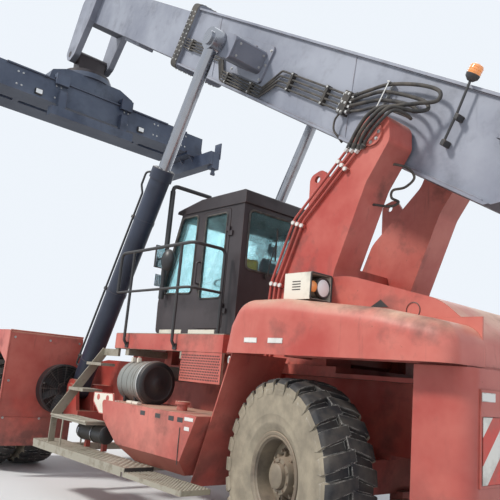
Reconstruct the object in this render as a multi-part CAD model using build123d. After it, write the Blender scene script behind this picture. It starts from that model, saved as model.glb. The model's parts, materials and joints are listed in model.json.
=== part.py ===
from build123d import *
import math
import os

# Container reach stacker, millimetres, +Z up, +Y forward, +X to the machine's right.
# While it is modelled, Y = 0 is the rear axle and Z = 0 is the ground.
# Before export everything moves along Y so that the origin is under the middle of the whole.

os.makedirs("parts", exist_ok=True)

# Wheels and axles
WHEELBASE = 6000.0
TYRE_RADIUS = 805.0
TYRE_WIDTH = 500.0
LUG_DEPTH = 42.0
LUG_COUNT = 20
RIM_RADIUS = 330.0
FRONT_TYRE_X = (1210.0, 1820.0)
REAR_TYRE_X = 1390.0
KINGPIN_X = 1040.0
KINGPIN_RADIUS = 60.0
REST_STEER = -12.0
AXLE_BEAM_DEPTH = 300.0
RUNNING_GAP = 0.3

# Main frame
GIRDER_OUTER_X = 440.0
GIRDER_INNER_X = 330.0
FRAME_STEP = 250.0
FRAME_SIDE = 690.0
FRAME_TOP = 1650.0
FRAME_REAR_Y = -1120.0
FRAME_FRONT_Y = WHEELBASE + 560.0
GUARD_REAR_Y = WHEELBASE - 985.0
SADDLE_HALF = 870.0
SADDLE_TOP = 1750.0

# Boom
BOOM_ANGLE = 31.2
PIVOT_Y = -150.0
PIVOT_Z = 4000.0
PIVOT_PIN_RADIUS = 105.0
OUTER_HALF = 420.0
OUTER_BOTTOM = -166.0
OUTER_TOP = 780.0
OUTER_REAR = -1750.0
OUTER_FRONT = 5130.0
SIDE_WALL = 25.0
FLANGE_WALL = 30.0
FLANGE_LIP = 40.0
INNER_HALF = 350.0
INNER_BOTTOM = -96.0
INNER_TOP = 706.0
INNER_REAR = 1250.0
INNER_TIP = 9250.0
INNER_WALL = 22.0
TILT_PIN_U = 9590.0
TILT_PIN_V = -930.0
TILT_PIN_RADIUS = 70.0

# Lift cylinders
RAM_X = 1080.0
RAM_FOOT_Y = WHEELBASE - 1280.0
RAM_FOOT_Z = 1220.0
RAM_EYE_U = 3080.0
RAM_EYE_V = 305.0
BARREL_RADIUS = 140.0
BARREL_LENGTH = 3390.0
ROD_RADIUS = 85.0
EYE_RADIUS = 150.0
EYE_WIDTH = 160.0

# Towers
TOWER_INNER_X = 470.0
TOWER_OUTER_X = 840.0

# Cab
CAB_HALF = 780.0
CAB_REAR = 1750.0
CAB_FRONT = 3380.0
CAB_FLOOR = 2050.0
CAB_ROOF = 3790.0
CAB_WALL = 50.0
DOOR_REAR = 1985.0
DOOR_FRONT = 2545.0
HINGE_OUT = 16.0
HINGE_RADIUS = 13.0
HINGE_HEIGHTS = (2350.0, 3300.0)

# Body panels
DECK_TOP = 2000.0
DECK_OUTER = 1280.0
FENDER_OUTER = 1680.0
FENDER_INNER = 1200.0
FENDER_TOP = 2290.0
FENDER_LIP = 1850.0
HOOD_TOP = 2530.0
HOOD_REAR = -1500.0
WEIGHT_REAR = -1560.0
WEIGHT_FRONT = -1120.0
WEIGHT_HALF = 1480.0
TANK_OUTER = 1750.0
TANK_TOP = 1190.0
CATWALK_TOP = 600.0

# Spreader
SPREADER_Y = 8600.0
BEAM_BOTTOM = 6730.0
BEAM_TOP = 7240.0
BEAM_HALF_DEPTH = 560.0
FRAME_HALF_LENGTH = 2480.0
END_HALF_LENGTH = 3029.0
LOCK_SPACING = 2259.0
SLEW_Z = 7720.0
RAIL_REACH = 40.0


def block(x0, x1, y0, y1, z0, z1):
    """Box between two corners."""
    centre = Pos((x0 + x1) / 2, (y0 + y1) / 2, (z0 + z1) / 2)
    return centre * Box(abs(x1 - x0), abs(y1 - y0), abs(z1 - z0))


def side_plate(outline, x0, x1):
    """Plate between x0 and x1, from rows of y, z and corner radius."""
    points = [(x0, y, z) for y, z, _ in outline]
    radii = [r for _, _, r in outline]
    face = make_face(FilletPolyline(*points, radius=radii, close=True))
    return extrude(face, abs(x1 - x0), dir=(1 if x1 > x0 else -1, 0, 0))


def cross_plate(outline, y0, y1):
    """Plate between y0 and y1, from rows of x, z and corner radius."""
    points = [(x, y0, z) for x, z, _ in outline]
    radii = [r for _, _, r in outline]
    face = make_face(FilletPolyline(*points, radius=radii, close=True))
    return extrude(face, abs(y1 - y0), dir=(0, 1 if y1 > y0 else -1, 0))


def flat_plate(outline, z0, z1):
    """Plate between z0 and z1, from rows of x, y and corner radius."""
    points = [(x, y, z0) for x, y, _ in outline]
    radii = [r for _, _, r in outline]
    face = make_face(FilletPolyline(*points, radius=radii, close=True))
    return extrude(face, abs(z1 - z0), dir=(0, 0, 1 if z1 > z0 else -1))


def shaft(start, end, radius):
    """Round bar from one point to another."""
    a = Vector(*start)
    b = Vector(*end)
    plane = Plane(origin=a, z_dir=(b - a).normalized())
    return plane * extrude(Circle(radius), (b - a).length)


def ring(start, end, radius, bore):
    """Round tube from one point to another."""
    return shaft(start, end, radius) - shaft(start, end, bore)


def pipe(points, bend, size):
    """Round pipe along straight runs joined by arcs of one bend radius."""
    if len(points) == 2:
        return shaft(points[0], points[1], size)
    route = FilletPolyline(*points, radius=bend)
    start = Plane(origin=route @ 0, z_dir=route % 0)
    return sweep(start * Circle(size), path=route)


def mirrored(solid):
    """The mirror image on the other side of the machine."""
    return mirror(solid, about=Plane.YZ)


def fuse(pieces):
    """Union of a list of solids."""
    result = pieces[0]
    for piece in pieces[1:]:
        result = result + piece
    return result


def to_boom(solid):
    """From the boom's own frame, along and above its pin, to its place on the machine."""
    return Pos(0, PIVOT_Y, PIVOT_Z) * Rot(BOOM_ANGLE, 0, 0) * solid


def boom_point(u, v):
    """Place on the machine (y, z) of a point given along and above the boom's pin."""
    c = math.cos(math.radians(BOOM_ANGLE))
    s = math.sin(math.radians(BOOM_ANGLE))
    return PIVOT_Y + u * c - v * s, PIVOT_Z + u * s + v * c


RAM_EYE_Y, RAM_EYE_Z = boom_point(RAM_EYE_U, RAM_EYE_V)
RAM_LENGTH = math.hypot(RAM_EYE_Y - RAM_FOOT_Y, RAM_EYE_Z - RAM_FOOT_Z)
RAM_LEAN = math.degrees(math.atan2(RAM_FOOT_Y - RAM_EYE_Y, RAM_EYE_Z - RAM_FOOT_Z))
TILT_Y, TILT_Z = boom_point(TILT_PIN_U, TILT_PIN_V)


def to_ram(solid, side):
    """From a ram standing on its foot pin to its place, side is -1 left or 1 right."""
    return Pos(side * RAM_X, RAM_FOOT_Y, RAM_FOOT_Z) * Rot(RAM_LEAN, 0, 0) * solid


def steer_turn(solid, side):
    """Turn a rear wheel or knuckle about its king pin to the parked steering angle."""
    pin = Pos(side * KINGPIN_X, 0, 0)
    return pin * Rot(0, 0, REST_STEER) * pin.inverse() * solid


# Wheels


def lug_band(width, turn):
    """Half of the tread: a toothed ring from the middle out to one side, turned by a share of a pitch."""
    pitch = 2 * math.pi / LUG_COUNT
    root = TYRE_RADIUS - LUG_DEPTH
    # share of one pitch, radius
    tooth = ((0.0, root), (0.05, TYRE_RADIUS), (0.45, TYRE_RADIUS), (0.5, root))
    points = []
    for n in range(LUG_COUNT):
        for share, radius in tooth:
            angle = (n + share + turn) * pitch
            points.append((0, radius * math.cos(angle), radius * math.sin(angle)))
    face = make_face(Polyline(*points, close=True))
    return extrude(face, abs(width), dir=(1 if width > 0 else -1, 0, 0))


def tyre(centre_x):
    """Tyre with chunky lugs, staggered left and right, standing on the ground."""
    half = TYRE_WIDTH / 2
    shoulder = half - 30
    # half width, radius
    section = (
        (half - 45, RIM_RADIUS - 12),
        (half - 45, RIM_RADIUS + 30),
        (half, RIM_RADIUS + 230),
        (shoulder, TYRE_RADIUS - LUG_DEPTH - 15),
    )
    points = [(x, r) for x, r in section] + [(-x, r) for x, r in reversed(section)]
    face = make_face(Polyline(*points, close=True))
    core = shaft((-half, 0, 0), (half, 0, 0), RIM_RADIUS + 270)
    tread = lug_band(-shoulder, 0.0) + lug_band(shoulder, 0.5) - core
    return Pos(centre_x, 0, TYRE_RADIUS) * (revolve(face, Axis.X, 360) + tread)


def rim(centre_x, side, dish, hub_out, bore):
    """Wheel rim: barrel with flanges, disc at an offset, side is -1 left or 1 right."""
    half = TYRE_WIDTH / 2 - 45
    seat = RIM_RADIUS - 12
    # x away from the tyre's middle towards the outside, radius
    barrel = (
        (-half - 14, seat - 24),
        (half + 14, seat - 24),
        (half + 14, RIM_RADIUS + 28),
        (half, RIM_RADIUS + 28),
        (half, seat - RUNNING_GAP),
        (-half, seat - RUNNING_GAP),
        (-half, RIM_RADIUS + 28),
        (-half - 14, RIM_RADIUS + 28),
    )
    disc = (
        (dish, bore),
        (dish + 30, bore),
        (dish + 30, seat - 12),
        (dish, seat - 12),
    )
    solid = None
    for rows in (barrel, disc):
        points = [(x * side, r) for x, r in rows]
        part = revolve(make_face(Polyline(*points, close=True)), Axis.X, 360)
        solid = part if solid is None else solid + part
    if hub_out:
        start = dish + 30
        solid = solid + shaft((start * side, 0, 0), ((start + 110) * side, 0, 0), 150)
        solid = solid + shaft((start * side, 0, 0), ((start + 150) * side, 0, 0), 105)
        for n in range(10):
            angle = n * math.pi / 5
            y = 205 * math.cos(angle)
            z = 205 * math.sin(angle)
            solid = solid + shaft((start * side, y, z), ((start + 34) * side, y, z), 20)
    return Pos(centre_x, 0, TYRE_RADIUS) * solid


def front_wheels(side):
    """Twin drive wheels of one side: tyres and rims with the spacer between them."""
    tyres = [tyre(side * x) for x in FRONT_TYRE_X]
    inner, outer = FRONT_TYRE_X
    half = TYRE_WIDTH / 2 - 45 + 14
    inner_rim = rim(side * inner, side, 120, False, 150 + RUNNING_GAP)
    outer_rim = rim(side * outer, side, -150, True, 0)
    spacer = ring((side * (inner + half), 0, TYRE_RADIUS), (side * (outer - half), 0, TYRE_RADIUS),
                  RIM_RADIUS - 12, RIM_RADIUS - 36)
    rims = inner_rim + outer_rim + spacer
    place = Pos(0, WHEELBASE, 0)
    return [place * t for t in tyres], place * rims


def rear_wheel(side):
    """Steered rear wheel of one side, turned to the parked steering angle."""
    rubber = steer_turn(tyre(side * REAR_TYRE_X), side)
    steel = steer_turn(rim(side * REAR_TYRE_X, side, 20, True, 0), side)
    return rubber, steel


def knuckle(side):
    """King pin, its body and the stub axle that carries a rear wheel."""
    stub_end = REAR_TYRE_X + 20 - RUNNING_GAP
    mid = TYRE_RADIUS
    body = shaft((KINGPIN_X, 0, mid - 170), (KINGPIN_X, 0, mid + 170), 128)
    stub = shaft((KINGPIN_X, 0, mid), (stub_end, 0, mid), 115)
    drum = shaft((KINGPIN_X + 122, 0, mid), (REAR_TYRE_X - 60, 0, mid), 235)
    pin = shaft((KINGPIN_X, 0, mid - 300), (KINGPIN_X, 0, mid + 262), KINGPIN_RADIUS)
    # steering arm under the lower fork
    arm = flat_plate(((KINGPIN_X - 90, 80, 45), (KINGPIN_X + 90, 80, 45), (KINGPIN_X + 50, -330, 30),
                      (KINGPIN_X - 50, -330, 30)), mid - 300, mid - 256)
    solid = body + stub + drum + pin + arm
    if side < 0:
        solid = mirrored(solid)
    return steer_turn(solid, side)


# Axles


def rear_axle():
    """Steering axle: box beam, forks round the king pins, pad under the frame, ram."""
    gap = RUNNING_GAP
    mid = TYRE_RADIUS
    fork_top = mid + 170 + gap
    fork_low = mid - 170 - gap
    half_beam = AXLE_BEAM_DEPTH / 2
    solid = block(-720, 720, -170, 170, mid - half_beam, mid + half_beam)
    for side in (-1, 1):
        # x, z of the fork's back seen from behind
        web = (
            (700, mid - half_beam, 0), (KINGPIN_X - 145, mid - 250, 0),
            (KINGPIN_X - 145, mid + 250, 0), (700, mid + half_beam, 0),
        )
        solid = solid + cross_plate([(side * x, z, r) for x, z, r in web], -110, 110)
        for z0, z1 in ((mid - 250, fork_low), (fork_top, mid + 250)):
            jaw = flat_plate(((KINGPIN_X - 150, -110, 0), (KINGPIN_X + 110, -110, 105),
                              (KINGPIN_X + 110, 110, 105), (KINGPIN_X - 150, 110, 0)), z0, z1)
            bore = shaft((KINGPIN_X, 0, z0 - 5), (KINGPIN_X, 0, z1 + 5), KINGPIN_RADIUS + gap)
            jaw = jaw - bore
            solid = solid + (jaw if side > 0 else mirrored(jaw))
    ram = shaft((-480, -235, mid - 250), (480, -235, mid - 250), 60)
    rods = shaft((-640, -235, mid - 250), (640, -235, mid - 250), 32)
    hanger = block(-260, 260, -240, -100, mid - 300, mid - half_beam + 20)
    pad = block(-GIRDER_OUTER_X, GIRDER_OUTER_X, -210, 210, mid + half_beam, 1000)
    return fuse([solid, ram, rods, hanger, pad])


def front_axle():
    """Drive axle: banjo housing, tapered arms and the hubs inside the twin wheels."""
    z = TYRE_RADIUS
    hub_end = FRONT_TYRE_X[0] + 190
    # x, radius
    profile = (
        (0, 300), (220, 300), (420, 190), (760, 170), (760, 235), (930, 235), (930, 150),
    )
    outline = [(x, r) for x, r in profile] + [(hub_end, 150), (hub_end, 0), (0, 0)]
    face = make_face(Polyline(*outline, close=True))
    half = revolve(face, Axis.X, 360)
    housing = Pos(0, WHEELBASE, z) * (half + mirrored(half))
    nose = shaft((0, WHEELBASE - 520, z + 20), (0, WHEELBASE, z + 20), 150)
    pads = [block(s * 560, s * 720, WHEELBASE - 200, WHEELBASE + 200, z + 150, 1090) for s in (-1, 1)]
    return fuse([housing, nose] + pads)


# Frame


def main_frame():
    """Two welded girders with cross members, the tower saddle and the ram feet."""
    # y, z, corner radius
    girder = (
        (FRAME_REAR_Y, 1000, 0), (700, 1000, 120), (1000, 640, 120), (WHEELBASE - 1500, 640, 150),
        (WHEELBASE - 850, 1090, 150), (FRAME_FRONT_Y, 1090, 0), (FRAME_FRONT_Y, 1400, 60),
        (WHEELBASE - 600, 1560, 200), (WHEELBASE - 1300, FRAME_TOP, 100), (FRAME_REAR_Y, FRAME_TOP, 0),
    )
    rear_girder = side_plate(girder, GIRDER_INNER_X, GIRDER_OUTER_X)
    # the front half of each girder steps outwards to the axle pads
    front_girder = rear_girder & block(0, 2000, 1300, FRAME_FRONT_Y + 100, 0, 2000)
    front_girder = Pos(FRAME_STEP, 0, 0) * front_girder
    step = block(GIRDER_INNER_X, GIRDER_OUTER_X + FRAME_STEP, 1200, 1420, 640, FRAME_TOP)
    rear_part = rear_girder & block(0, 2000, FRAME_REAR_Y, 1400, 0, 2000)
    half = rear_part + front_girder + step
    solid = half + mirrored(half)
    # y0, y1, z0, z1, half width of each cross member
    members = (
        (FRAME_REAR_Y, -1000, 1000, FRAME_TOP, 440),
        (1240, 1400, 700, 1500, 640),
        (2900, 3040, 680, 1500, 640),
        (WHEELBASE - 1700, WHEELBASE - 1540, 700, 1560, 640),
        (FRAME_FRONT_Y - 120, FRAME_FRONT_Y, 1090, 1400, 690),
    )
    for y0, y1, z0, z1, half_width in members:
        solid = solid + block(-half_width, half_width, y0, y1, z0, z1)
    saddle = block(-SADDLE_HALF, SADDLE_HALF, 120, 1240, FRAME_TOP, SADDLE_TOP)
    floor = block(-SADDLE_HALF, SADDLE_HALF, FRAME_REAR_Y, 120, FRAME_TOP, FRAME_TOP + 40)
    solid = solid + saddle + floor
    # feet of the rams: two ears beside each barrel eye and the pin across them
    inner_face = RAM_X - EYE_WIDTH / 2 - 6
    outer_face = RAM_X + EYE_WIDTH / 2 + 6
    y, z = RAM_FOOT_Y, RAM_FOOT_Z
    ear = (
        (y - 260, z - 330, 0), (y + 130, z - 330, 0), (y + 130, z + 40, 60), (y + 70, z + 120, 70),
        (y - 70, z + 120, 70), (y - 150, z, 60),
    )
    for side in (-1, 1):
        near_ear = side_plate(ear, side * (inner_face - 50), side * inner_face)
        far_ear = side_plate(ear, side * outer_face, side * (outer_face + 50))
        box = block(side * 640, side * (outer_face + 50), y - 300, y + 130, z - 460, z - 300)
        arm = block(side * 640, side * (inner_face - 40), y - 260, y + 100, z - 320, z + 60)
        pin = shaft((side * (inner_face - 60), y, z), (side * (outer_face + 80), y, z), 60)
        solid = solid + near_ear + far_ear + box + arm + pin
    # cab and deck supports
    for y0 in (1900, 3050):
        for side in (-1, 1):
            solid = solid + block(side * 580, side * FRAME_SIDE, y0, y0 + 160, 1500, 1950)
    return solid


def towers():
    """Twin box columns that lean back, each with a stub pin for the boom, and the pipes on the left."""
    top_y, top_z = PIVOT_Y, PIVOT_Z
    # y, z, corner radius
    outline = (
        (270, SADDLE_TOP, 0), (1150, SADDLE_TOP, 0), (1080, 2600, 400), (800, 3250, 300),
        (150, 3870, 250), (top_y + 150, top_z + 200, 150), (top_y - 190, top_z + 200, 150),
        (top_y - 205, top_z - 100, 120), (-100, 3520, 300), (250, 2640, 400),
    )
    # lifting lug on the front edge
    eye = ((500, 3450, 0), (790, 3200, 0), (800, 3790, 90), (610, 3850, 90), (420, 3560, 0))
    pieces = []
    for side in (-1, 1):
        column = side_plate(outline, side * TOWER_INNER_X, side * TOWER_OUTER_X)
        boss = shaft((side * TOWER_OUTER_X, top_y, top_z), (side * (TOWER_OUTER_X + 24), top_y, top_z), 125)
        pin = shaft((side * (OUTER_HALF - SIDE_WALL + 2), top_y, top_z),
                    (side * (TOWER_INNER_X + 20), top_y, top_z), PIVOT_PIN_RADIUS)
        lug = side_plate(eye, side * 640, side * 680)
        lug = lug - shaft((side * 600, 690, 3740), (side * 720, 690, 3740), 38)
        pieces.append(column + boss + lug + pin)
    pieces.append(block(-TOWER_INNER_X - 10, TOWER_INNER_X + 10, 560, 800, 2640, 2840))
    # y, z of the front pipe, each further pipe lies 66 mm behind it
    line = ((1160, 1805), (1090, 2610), (812, 3265), (130, 3910))
    pipe_x = -TOWER_OUTER_X - 22
    for n in range(3):
        pieces.append(pipe([(pipe_x, y - 66 * n, z - 20 * n) for y, z in line], 150, 14))
    # y, z and lean of each clamp bar across the three pipes
    for y, z, lean in ((1010, 2570, 10), (752, 3200, 20), (190, 3740, 46)):
        bar = Box(44, 190, 44)
        pieces.append(Pos(pipe_x + 6, y, z) * Rot(lean, 0, 0) * bar)
    return fuse(pieces)


# Body panels


def front_mudguards():
    """Top, rear splash plate, front apron and flap over each pair of front wheels."""
    guards = []
    inner_x, outer_x = 980, 2100
    rear_y, front_y, top_z, sheet = GUARD_REAR_Y, WHEELBASE + 900, 1950, 12
    # y, z, corner radius of the bent sheet, outside then inside
    sheet_line = (
        (rear_y, 700, 0), (rear_y, top_z, 60), (front_y - 250, top_z, 120), (front_y, 1560, 0),
        (front_y - sheet, 1552, 0), (front_y - 250 - sheet / 2, top_z - sheet, 110),
        (rear_y + sheet, top_z - sheet, 48), (rear_y + sheet, 700, 0),
    )
    cheek = (
        (rear_y, 1500, 0), (rear_y, top_z, 60), (front_y - 250, top_z, 120), (front_y, 1560, 0),
        (front_y - 60, 1545, 0), (front_y - 400, 1760, 200), (rear_y + 485, 1760, 200),
    )
    start = FRAME_SIDE + RUNNING_GAP
    for side in (-1, 1):
        guard = side_plate(sheet_line, side * inner_x, side * outer_x)
        lip = side_plate(cheek, side * (outer_x - 10), side * outer_x)
        pieces = [guard, lip]
        # y, z of the arm from the frame, z of the arm under the sheet
        for y, z in ((rear_y + 285, 1440), (front_y - 600, 1300)):
            pieces.append(block(side * start, side * 900, y, y + 80, z, z + 80))
            pieces.append(block(side * 850, side * 920, y, y + 80, z, top_z - sheet))
            pieces.append(block(side * 850, side * 1060, y, y + 80, top_z - 80, top_z - sheet))
        pieces.append(block(side * (inner_x + 40), side * (outer_x - 20), rear_y - 10, rear_y + 4, 380, 760))
        guards.append(fuse(pieces))
    return guards


def fender_shape(offset):
    """Closed rounded body of the left rear fender, shrunk by an offset."""
    top = FENDER_TOP - offset
    outer = FENDER_OUTER - offset
    # y, z, corner radius of the side outline
    outline = (
        (-1520 + offset, FENDER_LIP - 60, 0), (850 - offset, FENDER_LIP - 60, 0),
        (800 - offset, 2060, 90), (660 - offset, top, 230), (150, top, 900),
        (-900, top - 110, 700), (-1520 + offset, top - 230, 200),
    )
    side = side_plate(outline, -outer, -FENDER_INNER)
    edge_line = side.edges().filter_by_position(Axis.X, -outer - 1, -outer + 1)
    upper = [e for e in edge_line if e.center().Z > 1990]
    return fillet(upper, 150 - offset)


def rear_fenders():
    """Rounded sheet fenders over the steered wheels, with the slanted front arch plates."""
    skin = 14
    shell = fender_shape(0) - fender_shape(skin)
    # arch plate between wheel and tank
    arch = ((770, 1800, 0), (784, 1800, 0), (1228, 520, 0), (1214, 520, 0))
    plate = side_plate(arch, -1590, -SADDLE_HALF - RUNNING_GAP)
    web = block(-1590, -FENDER_INNER, 770, 846, 1785, 1850)
    inner_wall = block(-FENDER_INNER - skin, -FENDER_INNER, -1500, 800, FENDER_LIP, 2150)
    left = shell + plate + web + inner_wall
    return [left, mirrored(left)]


def engine_hood():
    """Hood round and between the towers, rounded down to the rear, open below."""
    # y, z, corner radius
    outline = (
        (HOOD_REAR, 1800, 0), (480, 1800, 0), (480, HOOD_TOP, 40), (-250, HOOD_TOP, 700),
        (-1150, 2290, 500), (-1440, 2060, 250),
    )
    inner = (
        (HOOD_REAR + 30, 1790, 0), (450, 1790, 0), (450, HOOD_TOP - 30, 30), (-250, HOOD_TOP - 30, 680),
        (-1135, 2262, 480), (-1415, 2046, 240),
    )
    half_width = FENDER_INNER - RUNNING_GAP
    solid = side_plate(outline, -half_width, half_width)
    solid = solid - side_plate(inner, -half_width + 30, half_width - 30)
    middle = ((480, 1760, 0), (1560, 1760, 0), (1560, 2330, 60), (1000, 2420, 200), (480, 2440, 0))
    cover = side_plate(middle, -TOWER_INNER_X + 12, TOWER_INNER_X - 12)
    room = ((440, 1740, 0), (1530, 1740, 0), (1530, 2302, 50), (1000, 2390, 190), (440, 2410, 0))
    cover = cover - side_plate(room, -TOWER_INNER_X + 42, TOWER_INNER_X - 42)
    solid = solid + cover
    for side in (-1, 1):
        well = block(side * (TOWER_INNER_X - 8), side * (TOWER_OUTER_X + 8), 100, 1240, 1700, 2700)
        solid = solid - well
    return solid


def counterweight():
    """Cast rear weight with rounded corners, tow recess and raised rear panels."""
    half = WEIGHT_HALF
    plan = ((-half, WEIGHT_FRONT, 0), (half, WEIGHT_FRONT, 0), (half, WEIGHT_REAR, 130),
            (-half, WEIGHT_REAR, 130))
    solid = flat_plate(plan, 430, 1780)
    low_cut = side_plate(((WEIGHT_REAR - 10, 420, 0), (WEIGHT_REAR + 180, 420, 0), (WEIGHT_REAR - 10, 700, 0)),
                         -half - 10, half + 10)
    solid = solid - low_cut
    tow = block(-160, 160, WEIGHT_REAR - 10, WEIGHT_REAR + 220, 760, 940)
    solid = solid - tow
    solid = solid + shaft((0, WEIGHT_REAR + 90, 740), (0, WEIGHT_REAR + 90, 960), 32)
    for side in (-1, 1):
        solid = solid + block(side * 760, side * 1360, WEIGHT_REAR - 12, WEIGHT_REAR + 5, 1000, 1640)
    top_step = block(-half + 60, half - 60, WEIGHT_FRONT - 380, WEIGHT_FRONT, 1780, 1800)
    return solid + top_step


def side_tank(side):
    """Tank with slanted ends and a folded lower edge, side is -1 left or 1 right."""
    outline = (
        (1010, TANK_TOP, 10), (2820, TANK_TOP, 40), (2740, 980, 40), (2380, 740, 60),
        (2200, 605, 40), (1290, 605, 20),
    )
    solid = side_plate(outline, side * 1080, side * TANK_OUTER)
    fold = cross_plate(((side * (TANK_OUTER + 5), 760, 0), (side * (TANK_OUTER + 5), 590, 0),
                        (side * 1590, 590, 0)), 900, 2900)
    solid = solid - fold
    neck = shaft((side * 1500, 1600, TANK_TOP - 10), (side * 1500, 1600, TANK_TOP + 60), 55)
    cap = shaft((side * 1500, 1600, TANK_TOP + 60), (side * 1500, 1600, TANK_TOP + 90), 75)
    start = FRAME_SIDE + RUNNING_GAP
    brackets = [block(side * start, side * 1090, y, y + 90, 900, 1060) for y in (1500, 2200)]
    pieces = [solid, neck, cap] + brackets
    if side < 0:
        plate = ((2560, 1150, 0), (2600, 1275, 20), (3050, 1262, 20), (3050, 1150, 30), (2880, 1030, 30),
                 (2720, 1030, 0))
        pieces.append(side_plate(plate, -TANK_OUTER + 12, -TANK_OUTER + 24))
    return fuse(pieces)


def reservoir():
    """Air reservoir drum on two saddles above the left catwalk."""
    x, z, radius = -1625, 786, 98
    # y, radius of the drum's outline
    profile = ((2800, 0), (2800, 60), (2825, radius), (3030, radius), (3030, radius + 8), (3046, radius + 8),
               (3046, radius), (3395, radius), (3420, 60), (3420, 0))
    drum = revolve(make_face(Polyline(*[(0, y, r) for y, r in profile], close=True)), Axis.Y, 360)
    solid = Pos(x, 0, z) * drum
    for y in (2890, 3300):
        solid = solid + block(x + 5, x + 60, y, y + 50, CATWALK_TOP + RUNNING_GAP, z)
    return solid


def walkways():
    """Decks beside the cab, catwalks along the tanks and the stairs between them."""
    pieces = []
    start = FRAME_SIDE + RUNNING_GAP
    deck_inner = 724
    outer = DECK_OUTER
    for side in (-1, 1):
        # x0, x1, y0, y1, z0, z1 of the deck plate and the folded bands round it
        deck_rows = (
            (deck_inner, outer, 1300, 3500, DECK_TOP - 25, DECK_TOP),
            (outer - 14, outer, 1300, 3500, DECK_TOP - 200, DECK_TOP),
            (deck_inner, outer, 3486, 3500, DECK_TOP - 200, DECK_TOP),
            (deck_inner, outer, 1300, 1314, DECK_TOP - 200, DECK_TOP),
            (start, outer - 5, 1980, 2060, 1720, 1800),
            (start, outer - 5, 3160, 3240, 1720, 1800),
            (outer - 60, outer - 5, 1980, 2060, 1720, DECK_TOP - 5),
            (outer - 60, outer - 5, 3160, 3240, 1720, DECK_TOP - 5),
        )
        group = [block(side * x0, side * x1, y0, y1, z0, z1) for x0, x1, y0, y1, z0, z1 in deck_rows]
        if side > 0:
            group[0] = group[0] - shaft((860, 1420, 1900), (860, 1420, 2100), 80)
        # catwalk in two plates, the rear one a little lower
        front_line = ((1600, 1840, 0), (1950, 1840, 20), (1950, 4110, 60), (1600, 4110, 60))
        rear_line = ((1600, 880, 20), (1950, 880, 20), (1950, 1860, 0), (1600, 1860, 0))
        for line, top in ((front_line, CATWALK_TOP), (rear_line, CATWALK_TOP - 40)):
            rows = [(side * x, y, r) for x, y, r in line]
            group.append(flat_plate(rows, top - 45, top))
        group.append(block(side * 1938, side * 1950, 1900, 4050, CATWALK_TOP - 90, CATWALK_TOP - 30))
        for y in (2300, 3900):
            group.append(block(side * start, side * 1700, y, y + 90, CATWALK_TOP - 120, CATWALK_TOP - 40))
        # side cheeks of the stairs, then x0, x1, y0 and z of each tread
        cheek = ((1230, 1700, 0), (1290, 1800, 0), (1880, 960, 40), (1880, 590, 0), (1800, 590, 0),
                 (1800, 860, 60))
        group.append(cross_plate([(side * x, z, r) for x, z, r in cheek], 3790, 3802))
        group.append(block(side * 1240, side * 1275, 3482, 3802, 1700, 1790))
        for x0, x1, y0, z in ((1600, 1880, 2880, 930), (1430, 1700, 3420, 1270), (1300, 1500, 3420, 1600)):
            group.append(block(side * x0, side * x1, y0, 3802, z - 36, z))
        for x0, x1 in ((1600, 1612), (1868, 1880)):
            group.append(block(side * x0, side * x1, 3460, 3480, 590, 900))
        group.append(block(side * 1240, side * 1275, 3420, 3500, 1700, DECK_TOP - 10))
        # frame and bars of the side grille
        group.append(block(side * (outer - 30), side * (outer - 5), 1300, 1330, 1480, DECK_TOP - 10))
        group.append(block(side * (outer - 30), side * (outer - 5), 1990, 2020, 1480, DECK_TOP - 10))
        group.append(block(side * (outer - 30), side * (outer - 5), 1300, 2020, 1480, 1510))
        group.append(block(side * (outer - 30), side * (outer - 5), 1300, 2020, 1775, 1805))
        for n in range(7):
            y = 1380 + n * 88
            group.append(block(side * (outer - 22), side * (outer - 12), y, y + 16, 1490, 1790))
        pieces.append(fuse(group))
    return pieces


def handrails():
    """Tube rails along both decks, with posts that bend in to the deck's side band."""
    rails = []
    # radii of posts, top rail and middle rail
    thick, rail, thin = 18, 20, 16
    face = DECK_OUTER + RUNNING_GAP
    for side in (-1, 1):
        x = side * (DECK_OUTER + 62)
        inner = side * 870
        top = DECK_TOP + 1040
        middle = DECK_TOP + 520
        rear = 1925
        group = [
            pipe([(x, 3510, middle), (x, 3510, top), (x, rear, top), (inner, rear, top),
                  (inner, rear, DECK_TOP)], 70, rail),
            pipe([(x, 3510, middle), (x, rear, middle), (inner, rear, middle)], 70, thin),
        ]
        for y in (3200, 2150):
            group.append(pipe([(x, y, top), (x, y, DECK_TOP - 90), (side * (face + 21), y, DECK_TOP - 150)],
                              24, thick))
            group.append(block(side * face, side * (face + 24), y - 34, y + 34, DECK_TOP - 185, DECK_TOP - 115))
        rails.append(fuse(group))
    return rails


# Things on the chassis


def air_cleaner():
    """Round air cleaner lying along the left tank, with rings, straps and its duct."""
    x, z = -1360, 1446
    base = TANK_TOP + RUNNING_GAP
    # y0, y1, radius of each step from the rear lid to the front
    steps = (
        (2285, 2310, 225), (2310, 2345, 244), (2345, 2400, 232), (2400, 2425, 240), (2425, 2760, 234),
        (2760, 2790, 200), (2790, 2850, 150),
    )
    pieces = [shaft((x, y0, z), (x, y1, z), r) for y0, y1, r in steps]
    for y in (2440, 2640):
        foot = block(x - 190, x + 190, y, y + 50, base, z)
        foot = foot - shaft((x, y - 10, z), (x, y + 60, z), 200)
        pieces.append(foot)
        pieces.append(shaft((x, y, z), (x, y + 50, z), 239))
    pieces.append(shaft((x, 2560, z + 120), (-700, 2560, z + 120), 85))
    return fuse(pieces)


def exhaust():
    """Silencer beside the right tank and a stack behind the cab."""
    y, z = 2700, 1440
    start = FRAME_SIDE + RUNNING_GAP
    body = shaft((800, y, z), (1220, y, z), 190)
    cone = shaft((1220, y, z), (1250, y, z), 120)
    shelf = block(start, 1200, y - 190, y + 190, 1225, 1262)
    line = pipe([(860, y, z + 100), (860, 1420, z + 100), (860, 1420, 3300)], 150, 70)
    return fuse([body, cone, shelf, line])


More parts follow.
